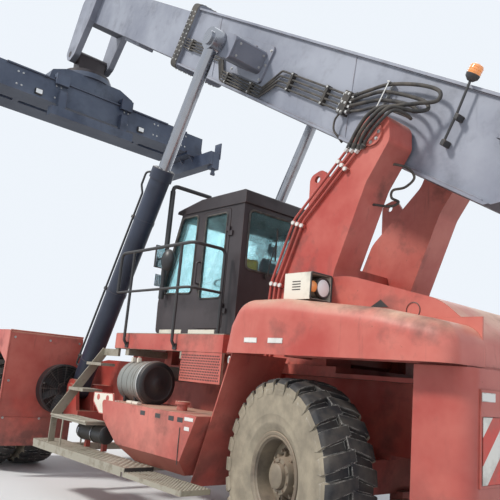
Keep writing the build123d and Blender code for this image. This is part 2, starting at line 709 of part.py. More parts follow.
def cooler_fan():
    """Round fan cowl with hub and blades on the splash plate behind the left front wheels."""
    x, z = -1260, 1180
    face = GUARD_REAR_Y - RUNNING_GAP
    solid = ring((x, face - 150, z), (x, face, z), 350, 322)
    solid = solid + shaft((x, face - 12, z), (x, face, z), 350)
    solid = solid + shaft((x, face - 110, z), (x, face, z), 72)
    for n in range(7):
        blade = Pos(192, 0, 0) * Rot(28, 0, 0) * Box(262, 10, 96)
        blade = Rot(0, n * 360 / 7, 0) * blade
        solid = solid + Pos(x, face - 66, z) * blade
    return solid


def lamp_boxes():
    """Rear lamp housings on the fenders, open to the rear, a round and a small lamp inside."""
    boxes = []
    base = FENDER_TOP + 0.2
    for side in (-1, 1):
        near, far = 1206, 1480
        housing = block(side * near, side * far, -60, 260, base, base + 240)
        room = block(side * (near + 12), side * (far - 12), -80, 240, base + 12, base + 228)
        housing = housing - room
        lamp = shaft((side * 1300, 120, base + 120), (side * 1300, -40, base + 120), 78)
        small = shaft((side * 1420, 245, base + 120), (side * 1420, 40, base + 120), 38)
        stem = block(side * 1280, side * 1320, 100, 245, base + 100, base + 140)
        boxes.append(fuse([housing, lamp, small, stem]))
    return boxes


def mirrors():
    """Mirror and lamp frame at the left front corner of the cab."""
    x, y = -850, 3230
    tube = 16
    post = pipe([(x, y, 2560), (x, y, 4080), (-200, y, 4080), (-200, y, 3700)], 60, tube)
    arm_low = shaft((x, y, 2620), (-760, y, 2620), tube)
    glass = block(x - 180, x - 40, y - 40, y - 15, 2900, 3200)
    holder = shaft((x, y, 3050), (x - 100, y - 20, 3050), tube)
    second = block(x - 170, x - 50, y - 40, y - 15, 2640, 2820)
    holder_two = shaft((x, y, 2730), (x - 100, y - 20, 2730), tube)
    return fuse([post, arm_low, glass, holder, second, holder_two])


def engine():
    """Engine and gearbox as one plain block between the girders."""
    return block(-300, 300, -780, 1150, 1000 + RUNNING_GAP, 1640)


# Cab

# side outline of the cab, y, z, corner radius
CAB_LINE = (
    (CAB_REAR, CAB_FLOOR, 0), (CAB_FRONT, CAB_FLOOR, 60), (CAB_FRONT + 20, 2480, 300),
    (3060, 3560, 200), (3020, 3690, 60), (CAB_REAR, CAB_ROOF - 20, 60),
)


def cab_outer():
    """Closed outer body of the cab."""
    return side_plate(CAB_LINE, -CAB_HALF, CAB_HALF)


def cab_inner():
    """Room inside the cab's walls."""
    w = CAB_WALL
    line = (
        (CAB_REAR + w, CAB_FLOOR + w, 0), (CAB_FRONT - w, CAB_FLOOR + w, 40),
        (CAB_FRONT + 20 - w, 2480, 280), (3060 - w, 3560, 180), (3020 - w, 3690 - w, 40),
        (CAB_REAR + w, CAB_ROOF - 20 - w - 70, 40),
    )
    return side_plate(line, -CAB_HALF + w, CAB_HALF - w)


# y, z, corner radius of the openings in the cab's sides
DOOR_LINE = (
    (DOOR_REAR, 2110, 40), (DOOR_FRONT, 2110, 40), (DOOR_FRONT, 3600, 50), (DOOR_REAR, 3600, 50),
)
SIDE_WINDOW_LINE = (
    (2660, 2560, 90), (3310, 2580, 90), (3285, 2700, 200), (3000, 3590, 60), (2660, 3590, 50),
)
REAR_SIDE_LINE = (
    (1850, 2520, 50), (2520, 2520, 50), (2520, 3580, 50), (1850, 3580, 50),
)

# x, z, corner radius of the openings in the cab's rear and front
REAR_WINDOW_LINE = ((-690, 2830, 70), (690, 2830, 70), (690, 3560, 70), (-690, 3560, 70))
SCREEN_LINE = ((-690, 2380, 60), (690, 2380, 60), (650, 3560, 60), (-650, 3560, 60))


def scaled_line(line, inset):
    """Outline moved inwards towards its middle by about an inset."""
    mid_y = sum(p[0] for p in line) / len(line)
    mid_z = sum(p[1] for p in line) / len(line)
    rows = []
    for y, z, r in line:
        dy = inset if y < mid_y else -inset
        dz = inset if z < mid_z else -inset
        rows.append((y + dy, z + dz, r))
    return rows


def cab_shell():
    """Cab walls, pillars and roof, with door and window openings cut."""
    solid = cab_outer() - cab_inner()
    w = CAB_WALL
    solid = solid - side_plate(DOOR_LINE, -CAB_HALF - 10, -CAB_HALF + w + 10)
    solid = solid - side_plate(SIDE_WINDOW_LINE, -CAB_HALF - 10, -CAB_HALF + w + 10)
    solid = solid - side_plate(SIDE_WINDOW_LINE, CAB_HALF - w - 10, CAB_HALF + 10)
    solid = solid - side_plate(REAR_SIDE_LINE, CAB_HALF - w - 10, CAB_HALF + 10)
    solid = solid - cross_plate(REAR_WINDOW_LINE, CAB_REAR - 10, CAB_REAR + w + 10)
    solid = solid - cross_plate(SCREEN_LINE, 2950, CAB_FRONT + 60)
    # roof cap with a visor over the windscreen and a fascia at the rear
    cap = (
        (CAB_REAR - 30, 3625, 10), (CAB_REAR - 30, CAB_ROOF, 30), (2600, CAB_ROOF, 200), (3130, 3700, 30),
        (3130, 3660, 10), (2950, 3690, 0), (2950, 3640, 0), (CAB_REAR + 20, 3625, 0),
    )
    roof = side_plate(cap, -CAB_HALF - 15, CAB_HALF + 15) - cab_inner()
    feet = [block(s * 560, s * 720, y, y + 180, 1950, CAB_FLOOR) for s in (-1, 1) for y in (1890, 3040)]
    knuckles = [hinge_knuckle(z - 60 - RUNNING_GAP, z - RUNNING_GAP, False) for z in HINGE_HEIGHTS]
    return fuse([solid, roof] + feet + knuckles)


def cab_glass():
    """Fixed panes in the cab: windscreen, rear window and side panes."""
    t = 8
    panes = []
    for x in (-CAB_HALF + 20, CAB_HALF - 20 - t):
        panes.append(side_plate(scaled_line(SIDE_WINDOW_LINE, 0.3), x, x + t))
    panes.append(side_plate(scaled_line(REAR_SIDE_LINE, 0.3), CAB_HALF - 20 - t, CAB_HALF - 20))
    panes.append(cross_plate(scaled_line(REAR_WINDOW_LINE, 0.3), CAB_REAR + 15, CAB_REAR + 15 + t))
    sheet = cab_outer() - Pos(0, -10, 0) * cab_outer()
    sheet = sheet & block(-CAB_HALF, CAB_HALF, 2950, 3500, 2300, 3620)
    front = cross_plate(scaled_line(SCREEN_LINE, 0.3), 2950, CAB_FRONT + 60)
    panes.append(front & Pos(0, -12, 0) * sheet)
    return panes


def hinge_knuckle(z0, z1, towards_front):
    """One knuckle of the cab door's hinge with its strap, to the front or to the rear."""
    x = -CAB_HALF - HINGE_OUT
    barrel = shaft((x, DOOR_REAR, z0), (x, DOOR_REAR, z1), HINGE_RADIUS)
    reach = 62 if towards_front else -62
    strap = block(x - 4, x + 20, DOOR_REAR, DOOR_REAR + reach, z0, z1)
    return barrel + strap


def door_window():
    """Outline of the door's window."""
    low, high = 2480, 3545
    return ((DOOR_REAR + 66, low, 50), (DOOR_FRONT - 66, low, 50), (DOOR_FRONT - 66, high, 50),
            (DOOR_REAR + 66, high, 50))


def cab_door():
    """Cab door frame with its window opening, handle and hinge knuckles."""
    x0, x1 = -CAB_HALF - 4, -CAB_HALF + 36
    solid = side_plate(scaled_line(DOOR_LINE, 6), x0, x1)
    solid = solid - side_plate(door_window(), x0 - 5, x1 + 5)
    y = DOOR_FRONT - 33
    grip = pipe([(x0 + 5, y, 2950), (x0 - 60, y, 2950), (x0 - 60, y, 2670), (x0 + 5, y, 2670)], 30, 12)
    solid = solid + grip
    for z in HINGE_HEIGHTS:
        solid = solid + hinge_knuckle(z, z + 60, True)
    return solid


def door_glass():
    """Pane of the cab door."""
    return side_plate(scaled_line(door_window(), 0.3), -CAB_HALF + 8, -CAB_HALF + 16)


def cab_interior():
    """Seat, console, steering column and wheel."""
    floor = CAB_FLOOR + CAB_WALL
    base = block(-180, 180, 2150, 2560, floor, floor + 330)
    cushion = block(-250, 250, 2120, 2640, floor + 330, floor + 470)
    back_line = ((2060, floor + 430, 40), (2190, floor + 430, 40), (2080, floor + 1130, 50),
                 (1980, floor + 1130, 50))
    back = side_plate(back_line, -240, 240)
    console = block(290, 520, 2150, 2800, floor, floor + 560)
    column = shaft((0, 3080, floor + 14), (0, 2888, floor + 748), 45)
    boot = block(-70, 70, 3000, 3150, floor, floor + 60)
    wheel = Pos(0, 2890, floor + 740) * Rot(-14, 0, 0) * Torus(190, 16)
    spoke = Pos(0, 2890, floor + 740) * Rot(-14, 0, 0) * Box(370, 40, 14)
    return [fuse([base, cushion, back]), console, fuse([column, boot, wheel, spoke])]


# Boom


def boom_outer():
    """Outer boom: welded box with flange lips, collar, pivot bosses and ram arms."""
    wall, half, gap = SIDE_WALL, OUTER_HALF, RUNNING_GAP
    wide = half + FLANGE_LIP
    bottom, top = OUTER_BOTTOM, OUTER_TOP
    # x, z, corner radius of the box seen along the boom
    section = (
        (-wide, bottom, 0), (wide, bottom, 0), (wide, bottom + FLANGE_WALL, 0),
        (half, bottom + FLANGE_WALL, 0), (half, top - FLANGE_WALL, 0), (wide, top - FLANGE_WALL, 0),
        (wide, top, 0), (-wide, top, 0), (-wide, top - FLANGE_WALL, 0), (-half, top - FLANGE_WALL, 0),
        (-half, bottom + FLANGE_WALL, 0), (-wide, bottom + FLANGE_WALL, 0),
    )
    solid = cross_plate(section, OUTER_REAR, OUTER_FRONT - 60)
    room = block(-half + wall, half - wall, OUTER_REAR - 10, OUTER_FRONT + 10,
                 bottom + FLANGE_WALL, top - FLANGE_WALL)
    solid = solid - room
    # the rear end is cut upwards and closed by a plate
    cut_line = ((OUTER_REAR - 10, bottom - 10, 0), (OUTER_REAR + 560, bottom - 10, 0),
                (OUTER_REAR - 10, bottom + 420, 0))
    solid = solid - side_plate(cut_line, -wide - 10, wide + 10)
    closing = ((OUTER_REAR, bottom + 412, 0), (OUTER_REAR + 547, bottom, 0), (OUTER_REAR + 580, bottom, 0),
               (OUTER_REAR, bottom + 440, 0))
    solid = solid + side_plate(closing, -half, half)
    # collar round the front end, with its wear pads inside
    collar = block(-half - 60, half + 60, OUTER_FRONT - 190, OUTER_FRONT, bottom - 60, top + 60)
    collar = fillet(collar.edges().filter_by(Axis.Y), 90)
    collar = collar - block(-half + wall, half - wall, OUTER_FRONT - 200, OUTER_FRONT + 10,
                            bottom + FLANGE_WALL, top - FLANGE_WALL)
    pieces = [solid, collar]
    y0, y1 = OUTER_FRONT - 180, OUTER_FRONT - 20
    for side in (-1, 1):
        for z0, z1 in ((INNER_TOP - 200, INNER_TOP - 60), (INNER_BOTTOM + 60, INNER_BOTTOM + 200)):
            pieces.append(block(side * (INNER_HALF + gap), side * (half - wall + 5), y0, y1, z0, z1))
        pieces.append(block(side * 140, side * 300, y0, y1, bottom + 20, INNER_BOTTOM - gap))
        pieces.append(block(side * 140, side * 300, y0, y1, INNER_TOP + gap, top - 20))
        # bosses round the pivot pins, then the arms that carry the ram eyes
        pieces.append(shaft((side * (half - 5), 0, 0), (side * (TOWER_INNER_X - 6), 0, 0), 164))
        arm = ((RAM_EYE_U - 340, RAM_EYE_V - 155, 60), (RAM_EYE_U + 260, RAM_EYE_V - 155, 60),
               (RAM_EYE_U + 260, RAM_EYE_V + 165, 60), (RAM_EYE_U - 340, RAM_EYE_V + 165, 60))
        pieces.append(side_plate(arm, side * (half - 5), side * (RAM_X - ROD_RADIUS - 6)))
        foot = ((RAM_EYE_U - 440, RAM_EYE_V - 255, 60), (RAM_EYE_U + 360, RAM_EYE_V - 255, 60),
                (RAM_EYE_U + 360, RAM_EYE_V + 265, 60), (RAM_EYE_U - 440, RAM_EYE_V + 265, 60))
        pieces.append(side_plate(foot, side * (half - 5), side * (half + 30)))
    solid = fuse(pieces)
    for side in (-1, 1):
        bore = shaft((side * (half - wall - 20), 0, 0), (side * (TOWER_INNER_X + 20), 0, 0),
                     PIVOT_PIN_RADIUS + gap)
        solid = solid - bore
    # beacon on its post at the rear left
    post = block(-half - 110, -half + 5, -1150, -1090, 360, 400)
    base = shaft((-half - 90, -1120, 395), (-half - 90, -1120, 425), 75)
    dome = shaft((-half - 90, -1120, 420), (-half - 90, -1120, 520), 62)
    return solid + post + base + dome


def boom_inner():
    """Inner boom: welded box that slides in the outer boom's wear pads."""
    wall = INNER_WALL
    half = INNER_HALF
    solid = block(-half, half, INNER_REAR, INNER_TIP, INNER_BOTTOM, INNER_TOP)
    room = block(-half + wall, half - wall, INNER_REAR + 30, INNER_TIP - 30,
                 INNER_BOTTOM + wall, INNER_TOP - wall)
    solid = solid - room
    stop = block(-160, 160, 7200, 7900, INNER_BOTTOM - 60, INNER_BOTTOM + 1)
    return solid + stop


def boom_head():
    """Head: side plates that turn down from the boom's tip to the tilt pin."""
    # u, v, corner radius
    cheek = (
        (INNER_TIP, INNER_TOP - 60, 0), (INNER_TIP + 480, INNER_TOP - 140, 260),
        (TILT_PIN_U + 330, 180, 200), (TILT_PIN_U + 190, TILT_PIN_V - 60, 150),
        (TILT_PIN_U - 60, TILT_PIN_V - 190, 150), (TILT_PIN_U - 230, TILT_PIN_V + 60, 150),
        (INNER_TIP + 30, INNER_BOTTOM - 140, 120), (INNER_TIP, INNER_BOTTOM + 20, 0),
    )
    box = (
        (INNER_TIP, INNER_TOP, 0), (INNER_TIP + 380, INNER_TOP - 90, 120), (INNER_TIP + 520, 260, 200),
        (INNER_TIP + 330, INNER_BOTTOM - 120, 100), (INNER_TIP, INNER_BOTTOM, 0),
    )
    pieces = [side_plate(box, -360, 360)]
    for side in (-1, 1):
        leg = side_plate(cheek, side * 350, side * 480)
        bore = shaft((side * 300, TILT_PIN_U, TILT_PIN_V), (side * 500, TILT_PIN_U, TILT_PIN_V),
                     TILT_PIN_RADIUS + RUNNING_GAP)
        pieces.append(leg - bore)
    return fuse(pieces)


def boom_hoses():
    """Four pipes with their clamps along the left side of the outer boom, and their manifold."""
    x = -OUTER_HALF - 42
    face = -OUTER_HALF - RUNNING_GAP
    pieces = []
    # v of each pipe at the manifold, under the ram arm and at the collar
    rows = ((118, -112, 130), (182, -70, 175), (246, -28, 220), (310, 14, 265))
    arm_rear, arm_front = RAM_EYE_U - 560, RAM_EYE_U + 480
    for rear_v, low_v, front_v in rows:
        pieces.append(pipe([(x, 960, rear_v), (x, arm_rear - 260, rear_v), (x, arm_rear, low_v),
                            (x, arm_front, low_v), (x, arm_front + 220, front_v),
                            (x, OUTER_FRONT - 200, front_v)], 60, 13))
    # u, lowest and highest v of each clamp
    for u, low, high in ((1300, 95, 335), (2000, 95, 335), (2760, -128, 34), (3380, -128, 34),
                         (4080, 105, 290), (4700, 105, 290)):
        pieces.append(block(x - 22, face, u, u + 40, low, high))
    pieces.append(block(x - 58, face, 870, 970, 80, 350))
    return fuse(pieces)


# Lift cylinders


def lift_barrel(side):
    """Barrel of a lift cylinder with its foot eye, gland and side pipe."""
    length = BARREL_LENGTH
    half = EYE_WIDTH / 2
    eye = shaft((-half, 0, 0), (half, 0, 0), EYE_RADIUS)
    neck = block(-half, half, -130, 130, 60, 210)
    tube = shaft((0, 0, 200), (0, 0, length), BARREL_RADIUS)
    gland = shaft((0, 0, length - 150), (0, 0, length), BARREL_RADIUS + 18)
    solid = eye + neck + tube + gland
    solid = solid - shaft((-EYE_WIDTH, 0, 0), (EYE_WIDTH, 0, 0), 60 + RUNNING_GAP)
    solid = solid - shaft((0, 0, 260), (0, 0, length + 10), ROD_RADIUS + RUNNING_GAP)
    near, far = BARREL_RADIUS - 5, BARREL_RADIUS + 45
    line = pipe([(0, near, 300), (0, far, 300), (0, far, length - 60), (0, near, length - 60)], 35, 16)
    return to_ram(solid + line, side)


def lift_rod(side):
    """Chromed rod of a lift cylinder with its eye and the pin that stays in it."""
    half = EYE_WIDTH / 2
    eye = shaft((-half, 0, RAM_LENGTH), (half, 0, RAM_LENGTH), EYE_RADIUS)
    cap = shaft((side * half, 0, RAM_LENGTH), (side * (half + 30), 0, RAM_LENGTH), 95)
    rod = shaft((0, 0, 1640), (0, 0, RAM_LENGTH - 100), ROD_RADIUS)
    return to_ram(eye + cap + rod, side)


# Spreader


def tilt_yoke():
    """Yoke that hangs from the head's pin and carries the slewing ring."""
    gap = RUNNING_GAP
    y, z = TILT_Y, TILT_Z
    pin = shaft((-480, y, z), (480, y, z), TILT_PIN_RADIUS)
    hub = shaft((-350 + 6, y, z), (350 - 6, y, z), 150)
    core = block(-300, 300, y - 150, y + 150, SLEW_Z + 60, z)
    plate = shaft((0, SPREADER_Y, SLEW_Z + gap), (0, SPREADER_Y, SLEW_Z + 80), 520)
    motor = shaft((0, SPREADER_Y + 330, SLEW_Z + 60), (0, SPREADER_Y + 330, SLEW_Z + 330), 90)
    link = block(-200, 200, y - 100, SPREADER_Y + 350, SLEW_Z + 60, SLEW_Z + 150)
    return fuse([pin, hub, core, plate, motor, link])


def slew_frame():
    """Turning frame: ring, housing and the jaws that run on the spreader's rails."""
    y = SPREADER_Y
    rail = BEAM_HALF_DEPTH + RAIL_REACH
    ring_part = shaft((0, y, SLEW_Z - 110), (0, y, SLEW_Z), 560)
    # x, z, corner radius
    body = (
        (-1000, BEAM_TOP + 45, 0), (1000, BEAM_TOP + 45, 0), (960, 7480, 60), (620, SLEW_Z - 100, 80),
        (-620, SLEW_Z - 100, 80), (-960, 7480, 60),
    )
    pieces = [ring_part, cross_plate(body, y - 480, y + 480)]
    for side in (-1, 1):
        for x in (-900, 620):
            inner, outer = y + side * (rail + RUNNING_GAP), y + side * (rail + 60)
            pieces.append(block(x, x + 280, inner, outer, BEAM_TOP - 110, BEAM_TOP + 130))
            pieces.append(block(x, x + 280, y + side * 400, outer, BEAM_TOP + 46, BEAM_TOP + 130))
            pieces.append(block(x, x + 280, y + side * (BEAM_HALF_DEPTH + 8), outer,
                                BEAM_TOP - 110, BEAM_TOP - 30 - RUNNING_GAP))
            pieces.append(block(x, x + 280, y + side * 380, y + side * 470,
                                BEAM_TOP + RUNNING_GAP, BEAM_TOP + 50))
    return fuse(pieces)


def spreader_frame():
    """Main spreader frame: two open-ended box beams joined by diaphragms."""
    y = SPREADER_Y
    length = FRAME_HALF_LENGTH
    solid = None
    for side in (-1, 1):
        near, far = side * 60, side * BEAM_HALF_DEPTH
        beam = block(-length, length, y + near, y + far, BEAM_BOTTOM, BEAM_TOP)
        room = block(-length - 10, length + 10, y + side * 84, y + side * (BEAM_HALF_DEPTH - 24),
                     BEAM_BOTTOM + 24, BEAM_TOP - 24)
        beam = beam - room
        solid = beam if solid is None else solid + beam
    for x in (-1500, -60, 1380):
        solid = solid + block(x, x + 120, y - 70, y + 70, BEAM_BOTTOM, BEAM_TOP)
    for side in (-1, 1):
        rail = block(-1900, 1900, y + side * (BEAM_HALF_DEPTH - 1), y + side * (BEAM_HALF_DEPTH + RAIL_REACH),
                     BEAM_TOP - 30, BEAM_TOP)
        solid = solid + rail
    # hanging cross member on the side towards the machine
    box = block(-950, 950, y - BEAM_HALF_DEPTH - 160, y - BEAM_HALF_DEPTH + 30, 6430, 6620)
    hanger = [block(x, x + 160, y - BEAM_HALF_DEPTH - 120, y - BEAM_HALF_DEPTH + 10, 6600, 7000)
              for x in (-800, 640)]
    return fuse([solid, box] + hanger)


def spreader_end(side):
    """Telescoping beam with the end cross beam, twistlock housings and corner guides."""
    y = SPREADER_Y
    gap = RUNNING_GAP
    # the left arm runs in the front box and the right arm in the rear box
    near = -side
    y0, y1 = y + near * (84 + gap), y + near * (BEAM_HALF_DEPTH - 24 - gap)
    z0, z1 = BEAM_BOTTOM + 24 + gap, BEAM_TOP - 24 - gap
    arm = block(side * -2300, side * (END_HALF_LENGTH - 60), y0, y1, z0, z1)
    hollow = block(side * -2310, side * (END_HALF_LENGTH - 80), y0 + near * 20, y1 - near * 20,
                   z0 + 20, z1 - 20)
    arm = arm - hollow
    half = LOCK_SPACING / 2
    plan_half = half + 90
    cross_beam = block(side * (END_HALF_LENGTH - 260), side * END_HALF_LENGTH, y - plan_half, y + plan_half,
                       6380, 6700)
    # gusset from the cross beam up to the arm, seen from behind
    gusset = (
        (side * (FRAME_HALF_LENGTH + 40), BEAM_TOP - 30, 0), (side * (FRAME_HALF_LENGTH + 40), 6800, 60),
        (side * (END_HALF_LENGTH - 240), 6560, 60), (side * END_HALF_LENGTH, 6560, 0),
        (side * END_HALF_LENGTH, 6800, 60), (side * (END_HALF_LENGTH - 150), BEAM_TOP - 30, 60),
    )
    solid = arm + cross_beam
    for row in (y + near * 100, y + near * (BEAM_HALF_DEPTH - 60)):
        solid = solid + cross_plate(gusset, row - 15, row + 15)
    brace = block(side * (FRAME_HALF_LENGTH + 60), side * (END_HALF_LENGTH - 20), y - BEAM_HALF_DEPTH,
                  y + BEAM_HALF_DEPTH, 6690, 6790)
    solid = solid + brace
    for row in (-1, 1):
        cy = y + row * half
        cx = side * (END_HALF_LENGTH - 90)
        housing = block(cx - 95, cx + 95, cy - 95, cy + 95, 6300, 6700)
        lock = shaft((cx, cy, 6190), (cx, cy, 6310), 45)
        head = block(cx - 50, cx + 50, cy - 28, cy + 28, 6160, 6215)
        # corner guide flap, turned up
        guide = block(side * (END_HALF_LENGTH - 10), side * (END_HALF_LENGTH + 20), cy - 110, cy + 110,
                      6560, 6960)
        solid = solid + housing + lock + head + guide
    return solid


def build_nodes():
    """All nodes by name, in the modelling frame, each a list of solids."""
    nodes = {}
    for name, side in (("left", -1), ("right", 1)):
        tyres, rims = front_wheels(side)
        nodes["front_tyres_" + name] = tyres
        nodes["front_rims_" + name] = rims
        rubber, steel = rear_wheel(side)
        nodes["rear_tyre_" + name] = rubber
        nodes["rear_rim_" + name] = steel
        nodes["knuckle_" + name] = knuckle(side)
        nodes["lift_barrel_" + name] = lift_barrel(side)
        nodes["lift_rod_" + name] = lift_rod(side)
        nodes["spreader_end_" + name] = spreader_end(side)
    nodes["rear_axle"] = rear_axle()
    nodes["front_axle"] = front_axle()
    nodes["main_frame"] = main_frame()
    nodes["towers"] = towers()
    nodes["front_mudguards"] = front_mudguards()
    nodes["rear_fenders"] = rear_fenders()
    nodes["engine_hood"] = engine_hood()
    nodes["counterweight"] = counterweight()
    nodes["side_tanks"] = [side_tank(-1), side_tank(1), reservoir()]
    nodes["walkways"] = walkways()
    nodes["handrails"] = handrails()
    nodes["air_cleaner"] = air_cleaner()
    nodes["exhaust"] = exhaust()
    nodes["cooler_fan"] = cooler_fan()
    nodes["lamp_boxes"] = lamp_boxes()
    nodes["mirrors"] = mirrors()
    nodes["engine"] = engine()
    nodes["cab_shell"] = cab_shell()
    nodes["cab_glass"] = cab_glass()
    nodes["cab_interior"] = cab_interior()
    nodes["cab_door"] = cab_door()
    nodes["door_glass"] = door_glass()
    nodes["boom_outer"] = to_boom(boom_outer())
    nodes["boom_hoses"] = to_boom(boom_hoses())
    nodes["boom_inner"] = to_boom(boom_inner())
    nodes["boom_head"] = to_boom(boom_head())
    nodes["tilt_yoke"] = tilt_yoke()
    nodes["slew_frame"] = slew_frame()
    nodes["spreader_frame"] = spreader_frame()
    return nodes


def export_nodes(nodes):
    """Move the origin under the middle of the whole and write one file per node."""
    lows, highs = [], []
    for solids in nodes.values():
        for solid in solids if isinstance(solids, list) else [solids]:
            box = solid.bounding_box()
            lows.append(box.min.Y)
            highs.append(box.max.Y)
    shift = -(min(lows) + max(highs)) / 2
    for name, solids in nodes.items():
        group = solids if isinstance(solids, list) else [solids]
        flat = [s for piece in group for s in piece.solids()]
        moved = Pos(0, shift, 0) * Compound(children=flat)
        export_step(moved, "parts/" + name + ".step")
    return shift


if __name__ == "__main__":
    shift_y = export_nodes(build_nodes())
    print("origin shift along Y", round(shift_y, 3))
    print("ram eye", RAM_EYE_Y, RAM_EYE_Z, "length", RAM_LENGTH, "lean", RAM_LEAN)
    print("tilt pin", TILT_Y, TILT_Z)
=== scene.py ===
"""Looks of a container reach stacker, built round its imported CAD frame.

Every length is in metres. Pieces are drawn in one of a few local frames: the machine (X to the
right, Y forward from the rear axle, Z up from the ground), the boom (X, along, above its pivot),
a lift cylinder standing on its foot, or a wheel with its axle along X. A piece's frame puts it in
its place at rest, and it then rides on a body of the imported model.
"""

import json
import logging
import math
from dataclasses import dataclass, field
from enum import Enum
from typing import Callable, Iterable, Sequence

import bmesh
import bpy
from mathutils import Matrix, Vector

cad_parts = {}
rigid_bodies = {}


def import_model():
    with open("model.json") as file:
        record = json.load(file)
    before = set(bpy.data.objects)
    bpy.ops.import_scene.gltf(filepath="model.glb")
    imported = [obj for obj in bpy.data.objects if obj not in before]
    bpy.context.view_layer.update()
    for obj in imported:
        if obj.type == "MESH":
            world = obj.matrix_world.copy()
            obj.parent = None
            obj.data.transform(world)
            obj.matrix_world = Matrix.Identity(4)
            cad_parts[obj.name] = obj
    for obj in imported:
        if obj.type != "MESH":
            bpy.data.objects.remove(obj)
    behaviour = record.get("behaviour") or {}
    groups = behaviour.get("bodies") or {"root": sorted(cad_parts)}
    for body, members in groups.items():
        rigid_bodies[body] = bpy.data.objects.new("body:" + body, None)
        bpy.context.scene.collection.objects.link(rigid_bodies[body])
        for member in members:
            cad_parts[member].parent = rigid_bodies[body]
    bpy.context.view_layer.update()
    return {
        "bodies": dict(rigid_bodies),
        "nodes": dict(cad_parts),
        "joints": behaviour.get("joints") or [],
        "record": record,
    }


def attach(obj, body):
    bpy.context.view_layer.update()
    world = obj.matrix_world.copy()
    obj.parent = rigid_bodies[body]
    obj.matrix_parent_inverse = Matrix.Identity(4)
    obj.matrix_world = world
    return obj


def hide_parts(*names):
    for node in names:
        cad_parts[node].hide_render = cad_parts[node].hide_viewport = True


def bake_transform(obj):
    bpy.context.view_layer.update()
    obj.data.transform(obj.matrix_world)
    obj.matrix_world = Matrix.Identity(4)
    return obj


LOG = logging.getLogger("reach_stacker")

Point = Sequence[float]
Colour = tuple[float, float, float]


class Side(Enum):
    """Side of the machine, seen from the driver's seat."""

    LEFT = -1
    RIGHT = 1

    @property
    def label(self) -> str:
        """Word used in the names of bodies and nodes."""
        return self.name.lower()


SIDES = (Side.LEFT, Side.RIGHT)
# sign of X on each side, and of other mirrored pairs
BOTH = tuple(side.value for side in SIDES)


# Finishes


